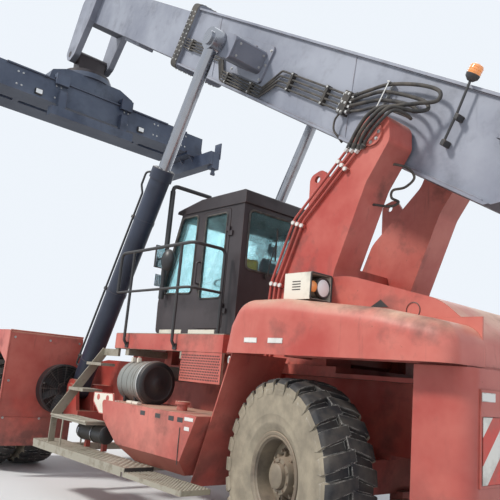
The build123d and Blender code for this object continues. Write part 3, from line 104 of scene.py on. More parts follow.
class Graph:
    """Shader nodes of one material, added through short calls."""

    def __init__(self, name: str) -> None:
        """Start an empty material with a shader and its output."""
        self.material = bpy.data.materials.new(name)
        self.material.use_nodes = True
        self.tree = self.material.node_tree
        self.tree.nodes.clear()
        self.shader = self.tree.nodes.new("ShaderNodeBsdfPrincipled")
        output = self.tree.nodes.new("ShaderNodeOutputMaterial")
        self.tree.links.new(self.shader.outputs[0], output.inputs["Surface"])
        self.place = self.add("ShaderNodeTexCoord").outputs["Object"]

    def add(self, kind: str, **inputs: object) -> bpy.types.Node:
        """Add a node and set or link its inputs.

        Args:
            kind: Blender's name of the node type.
            inputs: Socket or plain value for each named input; underscores stand for spaces.

        Returns:
            The new node.
        """
        node = self.tree.nodes.new(kind)
        for key, value in inputs.items():
            self.feed(node.inputs[key.replace("_", " ")], value)
        return node

    def feed(self, socket: bpy.types.NodeSocket, value: object) -> None:
        """Link a socket to another one, or give it a plain value."""
        if isinstance(value, bpy.types.NodeSocket):
            self.tree.links.new(value, socket)
        elif isinstance(value, tuple) and len(value) == 3 and socket.type == "RGBA":
            socket.default_value = (*value, 1.0)
        else:
            socket.default_value = value

    def maths(self, kind: str, first: object, second: object = 0.0) -> bpy.types.NodeSocket:
        """Result of one arithmetic step, limited to the range 0 to 1."""
        node = self.tree.nodes.new("ShaderNodeMath")
        node.operation = kind
        node.use_clamp = True
        self.feed(node.inputs[0], first)
        self.feed(node.inputs[1], second)
        return node.outputs[0]

    def noise(self, scale: float, detail: float = 4.0,
              stretch: Colour = (1.0, 1.0, 1.0)) -> bpy.types.NodeSocket:
        """Cloudy value between 0 and 1.

        Args:
            scale: Number of patches per metre.
            detail: Octaves of finer patches.
            stretch: Factor along each axis, below 1 for patches drawn out along it.

        Returns:
            The value's socket.
        """
        spot = self.add("ShaderNodeMapping", Vector=self.place, Scale=stretch).outputs[0]
        node = self.add("ShaderNodeTexNoise", Vector=spot, Scale=scale, Detail=detail, Roughness=0.62)
        return node.outputs["Fac"]

    def span(self, value: object, low: float, high: float) -> bpy.types.NodeSocket:
        """Rise from 0 to 1 as a value goes from low to high."""
        node = self.add("ShaderNodeMapRange", Value=value)
        node.inputs["From Min"].default_value = low
        node.inputs["From Max"].default_value = high
        return node.outputs["Result"]

    def mix(self, share: object, first: object, second: object) -> bpy.types.NodeSocket:
        """Colour between two others."""
        node = self.tree.nodes.new("ShaderNodeMix")
        node.data_type = "RGBA"
        # the node lists its sockets per data type: 6, 7 and output 2 are the colours
        self.feed(node.inputs[0], share)
        self.feed(node.inputs[6], first)
        self.feed(node.inputs[7], second)
        return node.outputs[2]

    def upward(self) -> bpy.types.NodeSocket:
        """Share to which a surface faces the sky."""
        normal = self.add("ShaderNodeNewGeometry").outputs["Normal"]
        return self.add("ShaderNodeSeparateXYZ", Vector=normal).outputs["Z"]

    def height(self) -> bpy.types.NodeSocket:
        """Height above the ground in metres, at rest."""
        return self.add("ShaderNodeSeparateXYZ", Vector=self.place).outputs["Z"]

    def edge(self, radius: float) -> bpy.types.NodeSocket:
        """Value that is 1 along sharp edges and 0 on flat ground.

        Args:
            radius: Width of the edge band in metres.

        Returns:
            The value's socket.
        """
        soft = self.tree.nodes.new("ShaderNodeBevel")
        soft.samples = 4
        soft.inputs["Radius"].default_value = radius
        sharp = self.add("ShaderNodeNewGeometry").outputs["Normal"]
        dot = self.tree.nodes.new("ShaderNodeVectorMath")
        dot.operation = "DOT_PRODUCT"
        self.feed(dot.inputs[0], soft.outputs[0])
        self.feed(dot.inputs[1], sharp)
        flat, sharpest = 0.995, 0.86
        return self.span(dot.outputs["Value"], flat, sharpest)

    def bump(self, height: object, strength: float, depth: float) -> None:
        """Roughen the surface by a height value, at most a depth in metres."""
        node = self.add("ShaderNodeBump", Height=height, Strength=strength, Distance=depth)
        self.feed(self.shader.inputs["Normal"], node.outputs[0])

    def done(self, colour: object, roughness: object, metallic: object = 0.0) -> bpy.types.Material:
        """Feed the shader and hand over the material."""
        self.feed(self.shader.inputs["Base Color"], colour)
        self.feed(self.shader.inputs["Roughness"], roughness)
        self.feed(self.shader.inputs["Metallic"], metallic)
        return self.material


@dataclass(frozen=True)
class Finish:
    """A named finish and the record's material slot that it belongs to."""

    name: str
    slot: str

    def build(self) -> bpy.types.Material:
        """Make the material."""
        raise NotImplementedError

    def material(self) -> bpy.types.Material:
        """The finish's material, made once."""
        return bpy.data.materials.get(self.name) or self.build()


@dataclass(frozen=True)
class Paint(Finish):
    """Weathered paint: bleached tops, streaks, dirt, painted shade on undersides, chipped edges."""

    colour: Colour
    faded: Colour
    # colour of dirt, and also of the painted shade on undersides
    grime: Colour = (0.055, 0.045, 0.04)
    bare: Colour = (0.16, 0.075, 0.045)
    dust: Colour = (0.62, 0.47, 0.36)
    dusty: float = 0.45
    dirty: float = 0.55
    chipped: float = 0.6
    # share of painted shade on faces that look down
    under: float = 0.6
    gloss: float = 0.42

    def build(self) -> bpy.types.Material:
        """Make the material."""
        g = Graph(self.name)
        # bleached in large patches
        fading = g.span(g.noise(0.8, 5), 0.36, 0.66)
        colour = g.mix(fading, self.colour, self.faded)
        # dust on what faces the sky
        top = g.span(g.upward(), 0.25, 0.9)
        cloud = g.span(g.noise(1.7, 7), 0.3, 0.56)
        colour = g.mix(g.maths("MULTIPLY", g.maths("MULTIPLY", top, cloud), self.dusty), colour, self.dust)
        # soil in patches, in streaks that run down and as mud low on the machine; painted shade on undersides
        patch = g.span(g.noise(2.1, 9), 0.53, 0.74)
        streak = g.span(g.noise(7.0, 9, (1.0, 1.0, 0.12)), 0.6, 0.86)
        streak = g.maths("SUBTRACT", streak, top)
        soil = g.maths("MULTIPLY", g.maths("MAXIMUM", patch, streak), self.dirty)
        clean, muddy = 1.25, 0.45
        mud = g.maths("MULTIPLY", g.span(g.height(), clean, muddy), g.span(g.noise(3.3, 8), 0.36, 0.62))
        soil = g.maths("MAXIMUM", soil, g.maths("MULTIPLY", mud, self.dirty))
        # painted shade: faces that look down darken towards the dirt colour
        soil = g.maths("MAXIMUM", soil, g.maths("MULTIPLY", g.span(g.upward(), -0.3, -0.9), self.under))
        colour = g.mix(soil, colour, self.grime)
        # bare metal along edges and in small chips
        rim = g.maths("MULTIPLY", g.edge(0.012), g.span(g.noise(9.0, 6), 0.42, 0.6))
        chip = g.span(g.noise(23.0, 8), 0.69, 0.72)
        worn = g.maths("MULTIPLY", g.maths("MAXIMUM", rim, chip), self.chipped)
        colour = g.mix(worn, colour, self.bare)
        g.bump(g.maths("SUBTRACT", g.noise(38.0, 3), worn), 0.25, 0.0015)
        rough = g.maths("ADD", self.gloss, g.maths("MULTIPLY", g.maths("MAXIMUM", soil, worn), 0.4))
        return g.done(colour, rough)


@dataclass(frozen=True)
class Metal(Finish):
    """Bare, plated or oily metal with wiping marks."""

    colour: Colour
    stain: Colour = (0.12, 0.08, 0.05)
    stained: float = 0.35
    gloss: float = 0.32
    metallic: float = 1.0

    def build(self) -> bpy.types.Material:
        """Make the material."""
        g = Graph(self.name)
        marks = g.span(g.noise(7.0, 8), 0.5, 0.75)
        fine = g.noise(90.0, 3)
        soil = g.maths("MULTIPLY", marks, self.stained)
        g.bump(fine, 0.12, 0.0008)
        rough = g.maths("ADD", self.gloss, g.maths("MULTIPLY", marks, 0.3))
        return g.done(g.mix(soil, self.colour, self.stain), rough, self.metallic)


@dataclass(frozen=True)
class Rubber(Finish):
    """Dull rubber or plastic with dust in its hollows and worn pale edges."""

    colour: Colour
    dust: Colour = (0.33, 0.28, 0.22)
    dusty: float = 0.35
    edges: float = 0.3
    edge_colour: Colour = (0.62, 0.6, 0.55)
    gloss: float = 0.72

    def build(self) -> bpy.types.Material:
        """Make the material."""
        g = Graph(self.name)
        cloud = g.maths("MULTIPLY", g.span(g.noise(5.5, 8), 0.38, 0.68), self.dusty)
        colour = g.mix(cloud, self.colour, self.dust)
        worn = g.maths("MULTIPLY", g.edge(0.009), g.span(g.noise(14.0, 6), 0.4, 0.58))
        colour = g.mix(g.maths("MULTIPLY", worn, self.edges), colour, self.edge_colour)
        g.bump(g.noise(70.0, 5), 0.3, 0.002)
        return g.done(colour, g.maths("ADD", self.gloss, g.maths("MULTIPLY", cloud, 0.3)))


@dataclass(frozen=True)
class Glass(Finish):
    """Tinted pane, dusty toward its edges."""

    tint: Colour
    dusty: float = 0.25
    # low, so that the panes bend the view little
    bending: float = 1.2
    covering: float = 0.5

    def build(self) -> bpy.types.Material:
        """Make the material."""
        g = Graph(self.name)
        film = g.maths("MULTIPLY", g.span(g.noise(3.0, 7), 0.4, 0.75), self.dusty)
        g.shader.inputs["IOR"].default_value = self.bending
        g.feed(g.shader.inputs["Transmission Weight"], g.maths("SUBTRACT", 0.96, film))
        g.feed(g.shader.inputs["Alpha"], g.maths("ADD", self.covering, film))
        return g.done(self.tint, g.maths("ADD", 0.03, film))


@dataclass(frozen=True)
class Lens(Finish):
    """Moulded lamp lens with fine ribs."""

    tint: Colour
    glow: float = 0.08

    def build(self) -> bpy.types.Material:
        """Make the material."""
        g = Graph(self.name)
        g.shader.inputs["Coat Weight"].default_value = 0.6
        g.shader.inputs["Emission Color"].default_value = (*self.tint, 1.0)
        g.shader.inputs["Emission Strength"].default_value = self.glow
        pale = tuple(0.5 + c / 2 for c in self.tint)
        wave = g.add("ShaderNodeTexWave", Vector=g.place, Scale=34.0).outputs["Fac"]
        g.bump(wave, 0.35, 0.002)
        return g.done(g.mix(g.maths("MULTIPLY", g.noise(30.0), 0.35), self.tint, pale), 0.18)


@dataclass(frozen=True)
class Cloth(Finish):
    """Woven seat fabric with sheen."""

    colour: Colour
    thread: Colour
    dust: Colour = (0.3, 0.26, 0.2)
    threads_per_metre: float = 420.0

    def build(self) -> bpy.types.Material:
        """Make the material."""
        g = Graph(self.name)
        g.shader.inputs["Sheen Weight"].default_value = 0.3
        weave = g.add("ShaderNodeTexChecker", Vector=g.place, Scale=self.threads_per_metre).outputs["Fac"]
        colour = g.mix(g.maths("MULTIPLY", weave, 0.5), self.colour, self.thread)
        dust = g.maths("MULTIPLY", g.span(g.noise(6.0, 6), 0.45, 0.7), 0.4)
        colour = g.mix(dust, colour, self.dust)
        g.bump(weave, 0.4, 0.0008)
        return g.done(colour, 0.85)


@dataclass(frozen=True)
class Hazard(Finish):
    """Red and white slanted stripes of a reflective board."""

    first: Colour = (0.62, 0.05, 0.03)
    second: Colour = (0.78, 0.76, 0.7)
    soil: Colour = (0.16, 0.13, 0.1)
    slant: float = math.radians(-45)
    stripe: float = 0.13

    def build(self) -> bpy.types.Material:
        """Make the material."""
        g = Graph(self.name)
        turned = g.add("ShaderNodeMapping", Vector=g.place, Rotation=(0.0, self.slant, 0.0)).outputs[0]
        across = g.add("ShaderNodeSeparateXYZ", Vector=turned).outputs["X"]
        step = g.tree.nodes.new("ShaderNodeMath")
        step.operation = "PINGPONG"
        g.feed(step.inputs[0], across)
        g.feed(step.inputs[1], self.stripe)
        white = g.span(step.outputs[0], self.stripe / 2 - 0.002, self.stripe / 2 + 0.002)
        colour = g.mix(white, self.first, self.second)
        soil = g.maths("MULTIPLY", g.span(g.noise(5.0, 8), 0.45, 0.7), 0.6)
        g.bump(g.noise(120.0, 2), 0.15, 0.0008)
        return g.done(g.mix(soil, colour, self.soil), 0.4)


RED = Paint("faded_red_paint", "red_paint", (0.42, 0.062, 0.048), (0.6, 0.185, 0.145),
            dust=(0.66, 0.45, 0.33), dusty=0.85, dirty=0.75)
WEIGHT_RED = Paint("cast_red_paint", "cast_weight", (0.36, 0.05, 0.04), (0.5, 0.14, 0.11))
# the boom's faces that look down get more painted shade
GREY = Paint("boom_grey_paint", "grey_paint", (0.2, 0.215, 0.27), (0.33, 0.35, 0.41),
             grime=(0.045, 0.047, 0.06), dust=(0.5, 0.49, 0.48), dirty=0.5, under=0.75)
CHARCOAL = Paint("cab_charcoal_paint", "charcoal_paint", (0.028, 0.021, 0.024), (0.062, 0.05, 0.054),
                 grime=(0.012, 0.011, 0.012), dust=(0.3, 0.28, 0.27), dusty=0.35, chipped=0.3)
RAM = Paint("cylinder_navy_paint", "ram_paint", (0.013, 0.017, 0.034), (0.035, 0.045, 0.075), dusty=0.3,
            grime=(0.01, 0.01, 0.012), chipped=0.3)
SPREADER = Paint("spreader_slate_paint", "spreader_paint", (0.05, 0.066, 0.11), (0.12, 0.145, 0.2),
                 grime=(0.02, 0.02, 0.026), dusty=0.35)
CREAM = Paint("lamp_box_cream_paint", "cream_paint", (0.74, 0.69, 0.58), (0.8, 0.77, 0.69))
RIM = Paint("rim_tan_paint", "rim_paint", (0.19, 0.155, 0.11), (0.36, 0.3, 0.22), dirty=0.8)
BLACK = Paint("black_frame_paint", "dark_steel", (0.02, 0.02, 0.022), (0.045, 0.045, 0.048), dusty=0.35,
              dust=(0.3, 0.27, 0.24), bare=(0.2, 0.15, 0.12))
TREAD = Metal("chequered_steel", "tread_steel", (0.4, 0.37, 0.3), stained=0.7, gloss=0.5, metallic=0.55)
CHROME = Metal("rod_chrome_plate", "rod_chrome", (0.36, 0.37, 0.4), stained=0.2, gloss=0.2)
ZINC = Metal("zinc_bolts", "dark_steel", (0.55, 0.55, 0.54), stained=0.5, gloss=0.4, metallic=0.8)
TYRE = Rubber("tyre_rubber", "tyre", (0.018, 0.018, 0.021), dusty=0.2, edges=0.85)
SIDEWALL = Rubber("dusty_sidewall", "tyre", (0.21, 0.18, 0.135), dust=(0.37, 0.32, 0.24), dusty=0.85)
HOSE = Rubber("hose_rubber", "hose", (0.022, 0.022, 0.024), dusty=0.3)
TRIM = Rubber("cab_trim_plastic", "cab_trim", (0.05, 0.05, 0.055), dusty=0.2, gloss=0.55)
PANE = Glass("turquoise_glass", "glass", (0.4, 0.72, 0.76))
WHITE_LENS = Lens("white_lens", "glass", (0.85, 0.87, 0.88))
AMBER_LENS = Lens("amber_lens", "glass", (0.9, 0.28, 0.02))
RED_LENS = Lens("red_lens", "glass", (0.6, 0.02, 0.015))
SEAT_CLOTH = Cloth("seat_cloth", "cab_trim", (0.07, 0.07, 0.09), (0.16, 0.16, 0.19))
STRIPES = Hazard("hazard_stripes", "cast_weight")
DRUM = Paint("drum_grey_paint", "charcoal_paint", (0.2, 0.21, 0.2), (0.3, 0.31, 0.29), dusty=0.3)
# black that stands in for shade: hood fin and opening, air cleaner lid, grille holes
PAINTED_SHADE = Paint("black_lid_paint", "charcoal_paint", (0.012, 0.012, 0.014), (0.03, 0.03, 0.032), dusty=0.15)
WHITE = Paint("white_patch_paint", "cream_paint", (0.72, 0.71, 0.68), (0.78, 0.77, 0.74), dirty=0.35)
YELLOW = Paint("yellow_box_paint", "cab_trim", (0.66, 0.42, 0.03), (0.7, 0.5, 0.1))
MIRROR = Metal("mirror_glass", "glass", (0.75, 0.8, 0.84), stained=0.1, gloss=0.04)

# Finish of every CAD node
NODE_FINISHES: tuple[tuple[Finish, tuple[str, ...]], ...] = (
    (RED, ("main_frame", "towers", "front_mudguards", "rear_fenders", "engine_hood", "side_tanks",
           "front_axle", "rear_axle", "knuckle_left", "knuckle_right")),
    (WEIGHT_RED, ("counterweight",)),
    (GREY, ("boom_outer", "boom_inner", "boom_head")),
    (CHARCOAL, ("cab_shell", "cab_door", "tilt_yoke")),
    (RAM, ("lift_barrel_left", "lift_barrel_right")),
    (SPREADER, ("slew_frame", "spreader_frame", "spreader_end_left", "spreader_end_right")),
    (CREAM, ("lamp_boxes",)),
    (RIM, ("front_rims_left", "front_rims_right", "rear_rim_left", "rear_rim_right")),
    (BLACK, ("handrails", "air_cleaner", "exhaust", "cooler_fan", "mirrors", "engine")),
    (TREAD, ("walkways",)),
    (CHROME, ("lift_rod_left", "lift_rod_right")),
    (TYRE, ("front_tyres_left", "front_tyres_right", "rear_tyre_left", "rear_tyre_right")),
    (HOSE, ("boom_hoses",)),
    (TRIM, ("cab_interior",)),
    (PANE, ("cab_glass", "door_glass")),
)


# Local frames


@dataclass(frozen=True)
class Layout:
    """Where the machine's local frames lie in the row frame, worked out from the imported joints."""

    machine: Matrix
    boom: Matrix

    @classmethod
    def from_frame(cls, frame: dict) -> "Layout":
        """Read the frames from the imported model.


        Returns:
            The layout.
        """
        joints = {j["name"]: j for j in frame["joints"]}
        rear_axle = joints["steer_left"]["pos_m"][1]
        inward = joints["boom_extend"]["axis"]
        lean = math.atan2(-inward[2], -inward[1])
        pivot = Matrix.Translation(joints["boom_lift"]["pos_m"])
        return cls(Matrix.Translation((0.0, rear_axle, 0.0)), pivot @ Matrix.Rotation(lean, 4, "X"))

    def wheel(self, x: float, y: float, height: float) -> Matrix:
        """Frame of a wheel with its axle along X."""
        return self.machine @ Matrix.Translation((x, y, height))

    def steered_wheel(self, x: float, pin_x: float, turn: float, height: float) -> Matrix:
        """Frame of a rear wheel turned about its king pin."""
        turned = Matrix.Translation((pin_x, 0, height)) @ Matrix.Rotation(turn, 4, "Z")
        return self.machine @ turned @ Matrix.Translation((x - pin_x, 0, 0))

    def cylinder(self, side: Side, foot_x: float, foot: Point, lean: float) -> Matrix:
        """Frame of a lift cylinder that stands on its foot pin."""
        place = Matrix.Translation((side.value * foot_x, *foot))
        return self.machine @ place @ Matrix.Rotation(lean, 4, "X")


# Mesh code


def rounded(points: Sequence[Point], bend: float, steps: int = 5) -> list[Vector]:
    """Line through points with every inner corner rounded.

    Args:
        points: Corners of the line.
        bend: Radius of the corners, kept small enough for the runs beside them.
        steps: Segments in each corner.

    Returns:
        Points along the rounded line.
    """
    corners = [Vector(p) for p in points]
    line = [corners[0]]
    for before, corner, after in zip(corners, corners[1:], corners[2:]):
        back, ahead = before - corner, after - corner
        half = back.angle(ahead) / 2
        cut = min(bend / max(math.tan(half), 1e-3), back.length * 0.49, ahead.length * 0.49)
        start, end = corner + back.normalized() * cut, corner + ahead.normalized() * cut
        for n in range(steps + 1):
            t = n / steps
            line.append(start * (1 - t) ** 2 + corner * 2 * t * (1 - t) + end * t**2)
    return line + [corners[-1]]


def rounded_loop(points: Sequence[Point], bend: float, steps: int = 6) -> list[Vector]:
    """Closed line through points with every corner rounded.

    Args:
        points: Corners of the loop.
        bend: Radius of the corners.
        steps: Segments in each corner.

    Returns:
        Points round the loop.
    """
    corners = [Vector(p) for p in points]
    start = (corners[0] + corners[1]) / 2
    line = rounded([start, *corners[1:], corners[0], start], bend, steps)
    return line[:-1]


def circle(radius: float, count: int, centre: Point = (0.0, 0.0)) -> list[tuple[float, float]]:
    """Places spaced evenly round a circle in a plane.

    Args:
        radius: Radius of the circle.
        count: Number of places.
        centre: Its middle in that plane.

    Returns:
        The places, as pairs.
    """
    angles = [math.tau * k / count for k in range(count)]
    return [(centre[0] + radius * math.cos(a), centre[1] + radius * math.sin(a)) for a in angles]


def curve(points: Sequence[Point], steps: int = 7) -> list[Vector]:
    """Smooth line through all the points.

    Args:
        points: Places that the line passes.
        steps: Segments between two places.

    Returns:
        Points along the line.
    """
    knots = [Vector(p) for p in points]
    knots = [knots[0] * 2 - knots[1], *knots, knots[-1] * 2 - knots[-2]]
    line = []
    for a, b, c, d in zip(knots, knots[1:], knots[2:], knots[3:]):
        for n in range(steps):
            t = n / steps
            straight, square, cube = c - a, 2 * a - 5 * b + 4 * c - d, 3 * b - a - 3 * c + d
            line.append(0.5 * (2 * b + straight * t + square * t**2 + cube * t**3))
    return line + [knots[-2]]


@dataclass
class Piece:
    """One visible piece in the making. Its mesh code works in a local frame."""

    name: str
    finish: Finish
    frame: Matrix
    mesh: bmesh.types.BMesh = field(default_factory=bmesh.new)
    extra: list[Finish] = field(default_factory=list)

    def box(self, low: Point, high: Point, bevel: float = 0.0, turn: Matrix | None = None) -> None:
        """Add a box between two corners.

        Args:
            low: One corner.
            high: The opposite corner.
            bevel: Width of its rounded edges.
            turn: Further transform of the box, in the piece's frame.
        """
        size = [max(abs(b - a), 1e-4) for a, b in zip(low, high)]
        middle = [(a + b) / 2 for a, b in zip(low, high)]
        shape = Matrix.Translation(middle) @ Matrix.Diagonal((*size, 1.0))
        made = bmesh.ops.create_cube(self.mesh, size=1.0, matrix=(turn or Matrix()) @ shape)
        if bevel:
            edges = list({e for v in made["verts"] for e in v.link_edges})
            bmesh.ops.bevel(self.mesh, geom=edges, offset=bevel, segments=2, affect="EDGES")

    def rod(self, start: Point, end: Point, radius: float, tip: float | None = None, sides: int = 24) -> None:
        """Add a round or, with few sides, many-sided bar from one point to another.

        Args:
            start: Middle of the first end.
            end: Middle of the other end.
            radius: Radius at the first end.
            tip: Radius at the other end, the same if left out.
            sides: Number of flats.
        """
        a, b = Vector(start), Vector(end)
        turn = (b - a).to_track_quat("Z", "Y").to_matrix().to_4x4()
        bmesh.ops.create_cone(
            self.mesh, cap_ends=True, segments=sides, radius1=radius, radius2=radius if tip is None else tip,
            depth=(b - a).length, matrix=Matrix.Translation((a + b) / 2) @ turn,
        )

    def tube(self, points: Sequence[Point], radius: float, sides: int = 10, closed: bool = False) -> None:
        """Add a round tube along a line of points.

        Args:
            points: Points along its middle.
            radius: Radius of the tube.
            sides: Number of flats round it.
            closed: Whether the line is a loop.
        """
        line = [Vector(p) for p in points]
        count = len(line)
        side = (line[1] - line[0]).orthogonal().normalized()
        rings = []
        for n, point in enumerate(line):
            before = line[n - 1] if n or closed else point
            after = line[(n + 1) % count] if n < count - 1 or closed else point
            ahead = (after - before).normalized()
            side = (side - ahead * side.dot(ahead)).normalized()
            other = ahead.cross(side)
            ring = []
            for k in range(sides):
                a = 2 * math.pi * k / sides
                ring.append(self.mesh.verts.new(point + (side * math.cos(a) + other * math.sin(a)) * radius))
            rings.append(ring)
        pairs = list(zip(rings, rings[1:])) + ([(rings[-1], rings[0])] if closed else [])
        for first, second in pairs:
            for k in range(sides):
                m = (k + 1) % sides
                self.mesh.faces.new((first[k], first[m], second[m], second[k]))
        if not closed:
            self.mesh.faces.new(reversed(rings[0]))
            self.mesh.faces.new(rings[-1])

    def lathe(self, profile: Sequence[Point], centre: Point = (0, 0, 0), axis: str = "X", steps: int = 72,
              closed: bool = False) -> None:
        """Add a turned solid.

        Args:
            profile: Rows of place along the axis and radius, in order; radius 0 closes an end.
            centre: Point of the axis where the place is 0.
            axis: Letter of the axis.
            steps: Segments round it.
            closed: Whether the profile is a loop, as on a ring.
        """
        spin = {"X": lambda a, r, c, s: (a, r * c, r * s), "Y": lambda a, r, c, s: (r * s, a, r * c),
                "Z": lambda a, r, c, s: (r * c, r * s, a)}[axis]
        base = Vector(centre)
        rings = []
        for along, radius in profile:
            if radius < 1e-5:
                rings.append([self.mesh.verts.new(base + Vector(spin(along, 0, 1, 0)))])
                continue
            angles = [2 * math.pi * k / steps for k in range(steps)]
            rings.append([self.mesh.verts.new(base + Vector(spin(along, radius, math.cos(a), math.sin(a))))
                          for a in angles])
        if closed:
            rings.append(rings[0])
        for first, second in zip(rings, rings[1:]):
            for k in range(steps):
                m = (k + 1) % steps
                corners = [first[k % len(first)], first[m % len(first)],
                           second[m % len(second)], second[k % len(second)]]
                unique = list(dict.fromkeys(corners))
                if len(unique) > 2:
                    self.mesh.faces.new(unique)

    def plate(self, outline: Sequence[Point], axis: str, low: float, high: float, bevel: float = 0.0) -> None:
        """Add a flat plate.

        Args:
            outline: Corners in the two axes left over, in the order of the alphabet.
            axis: Letter of the axis across the plate.
            low: Place of one face along that axis.
            high: Place of the other face.
            bevel: Width of its rounded edges.
        """
        spot = {"X": lambda p, a: (a, p[0], p[1]), "Y": lambda p, a: (p[0], a, p[1]),
                "Z": lambda p, a: (p[0], p[1], a)}[axis]
        near = [self.mesh.verts.new(spot(p, low)) for p in outline]
        far = [self.mesh.verts.new(spot(p, high)) for p in outline]
        faces = [self.mesh.faces.new(near), self.mesh.faces.new(list(reversed(far)))]
        for k in range(len(near)):
            m = (k + 1) % len(near)
            faces.append(self.mesh.faces.new((near[m], near[k], far[k], far[m])))
        if bevel:
            edges = list({e for f in faces for e in f.edges})
            bmesh.ops.bevel(self.mesh, geom=edges, offset=bevel, segments=2, affect="EDGES")

    def band(self, loops: Sequence[Sequence[Point]]) -> None:
        """Join closed loops of equally many points into a ring with a closed section.

        Args:
            loops: The loops in order round the ring's section.
        """
        rings = [[self.mesh.verts.new(p) for p in loop] for loop in loops]
        for first, second in zip(rings, rings[1:] + rings[:1]):
            for k in range(len(first)):
                m = (k + 1) % len(first)
                self.mesh.faces.new((first[k], first[m], second[m], second[k]))

    def cushion(self, low: Point, high: Point, creases: Sequence[float] = (),
                turn: Matrix | None = None) -> None:
        """Add a padded block with swollen faces and stitched creases across X.

        Args:
            low: One corner.
            high: The opposite corner.
            creases: Places of the seams, from -1 to 1 across the width.
            turn: Further transform of the block, in the piece's frame.
        """
        swell, cuts, groove_width, groove_depth = 5, 11, 0.05, 0.1
        before = set(self.mesh.verts)
        made = bmesh.ops.create_cube(self.mesh, size=2.0)
        edges = list({e for v in made["verts"] for e in v.link_edges})
        bmesh.ops.subdivide_edges(self.mesh, edges=edges, cuts=cuts, use_grid_fill=True)
        middle = (Vector(low) + Vector(high)) / 2
        half = (Vector(high) - Vector(low)) / 2
        for vert in [v for v in self.mesh.verts if v not in before]:
            unit = vert.co.copy()
            reach = sum(abs(c) ** swell for c in unit) ** (1 / swell)
            unit *= max(abs(c) for c in unit) / reach
            groove = sum(math.exp(-((unit.x - c) / groove_width) ** 2) for c in creases)
            shrink = 1 - groove_depth * groove
            spot = Vector((unit.x * half.x, unit.y * half.y * shrink, unit.z * half.z * shrink)) + middle
            vert.co = (turn or Matrix()) @ spot

    def bolts(self, places: Iterable[Point], out: Point, size: float = 0.016) -> None:
        """Add hexagon bolts with washers.

        Args:
            places: Point under each bolt head.
            out: Direction in which the heads stand.
            size: Radius of a head.
        """
        ahead = Vector(out).normalized()
        for place in places:
            foot = Vector(place)
            self.rod(foot - ahead * 0.002, foot + ahead * size * 0.25, size * 1.45, sides=14)
            self.rod(foot + ahead * size * 0.25, foot + ahead * size * 0.95, size, size * 0.94, sides=6)

    def spheroid(self, centre: Point, radii: Point, steps: int = 20) -> None:
        """Add an egg-shaped solid.

        Args:
            centre: Its middle.
            radii: Radius along each axis.
            steps: Segments round it.
        """
        shape = Matrix.Translation(centre) @ Matrix.Diagonal((*radii, 1.0))
        bmesh.ops.create_uvsphere(self.mesh, u_segments=steps, v_segments=steps // 2, radius=1.0,
                                  matrix=shape)

    def finish_where(self, finish: Finish, test: Callable[[Vector], bool]) -> None:
        """Give the faces whose middle passes a test another finish.

        Args:
            finish: The other finish.
            test: Tells from a face's middle whether it gets the finish.
        """
        self.extra.append(finish)
        for face in self.mesh.faces:
            if test(face.calc_center_median()):
                face.material_index = len(self.extra)

    def place(self, body: str, replaces: Sequence[str] = (), smooth: float = 38.0) -> bpy.types.Object:
        """Turn the mesh into an object that rides on a body.

        Args:
            body: Name of the CAD body.
            replaces: CAD nodes that the piece stands for.
            smooth: Angle in degrees below which an edge is shaded smooth.

        Returns:
            The object.
        """
        bmesh.ops.recalc_face_normals(self.mesh, faces=self.mesh.faces)
        self.mesh.transform(self.frame)
        data = bpy.data.meshes.new(self.name)
        self.mesh.to_mesh(data)
        self.mesh.free()
        data.polygons.foreach_set("use_smooth", [True] * len(data.polygons))
        data.set_sharp_from_angle(angle=math.radians(smooth))
        for finish in (self.finish, *self.extra):
            data.materials.append(finish.material())
        piece = bpy.data.objects.new(self.name, data)
        bpy.context.scene.collection.objects.link(piece)
        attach(piece, body)
        if replaces:
            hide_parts(*replaces)
        LOG.info("%s: %d faces on %s", self.name, len(data.polygons), body)
        return piece


# Studio


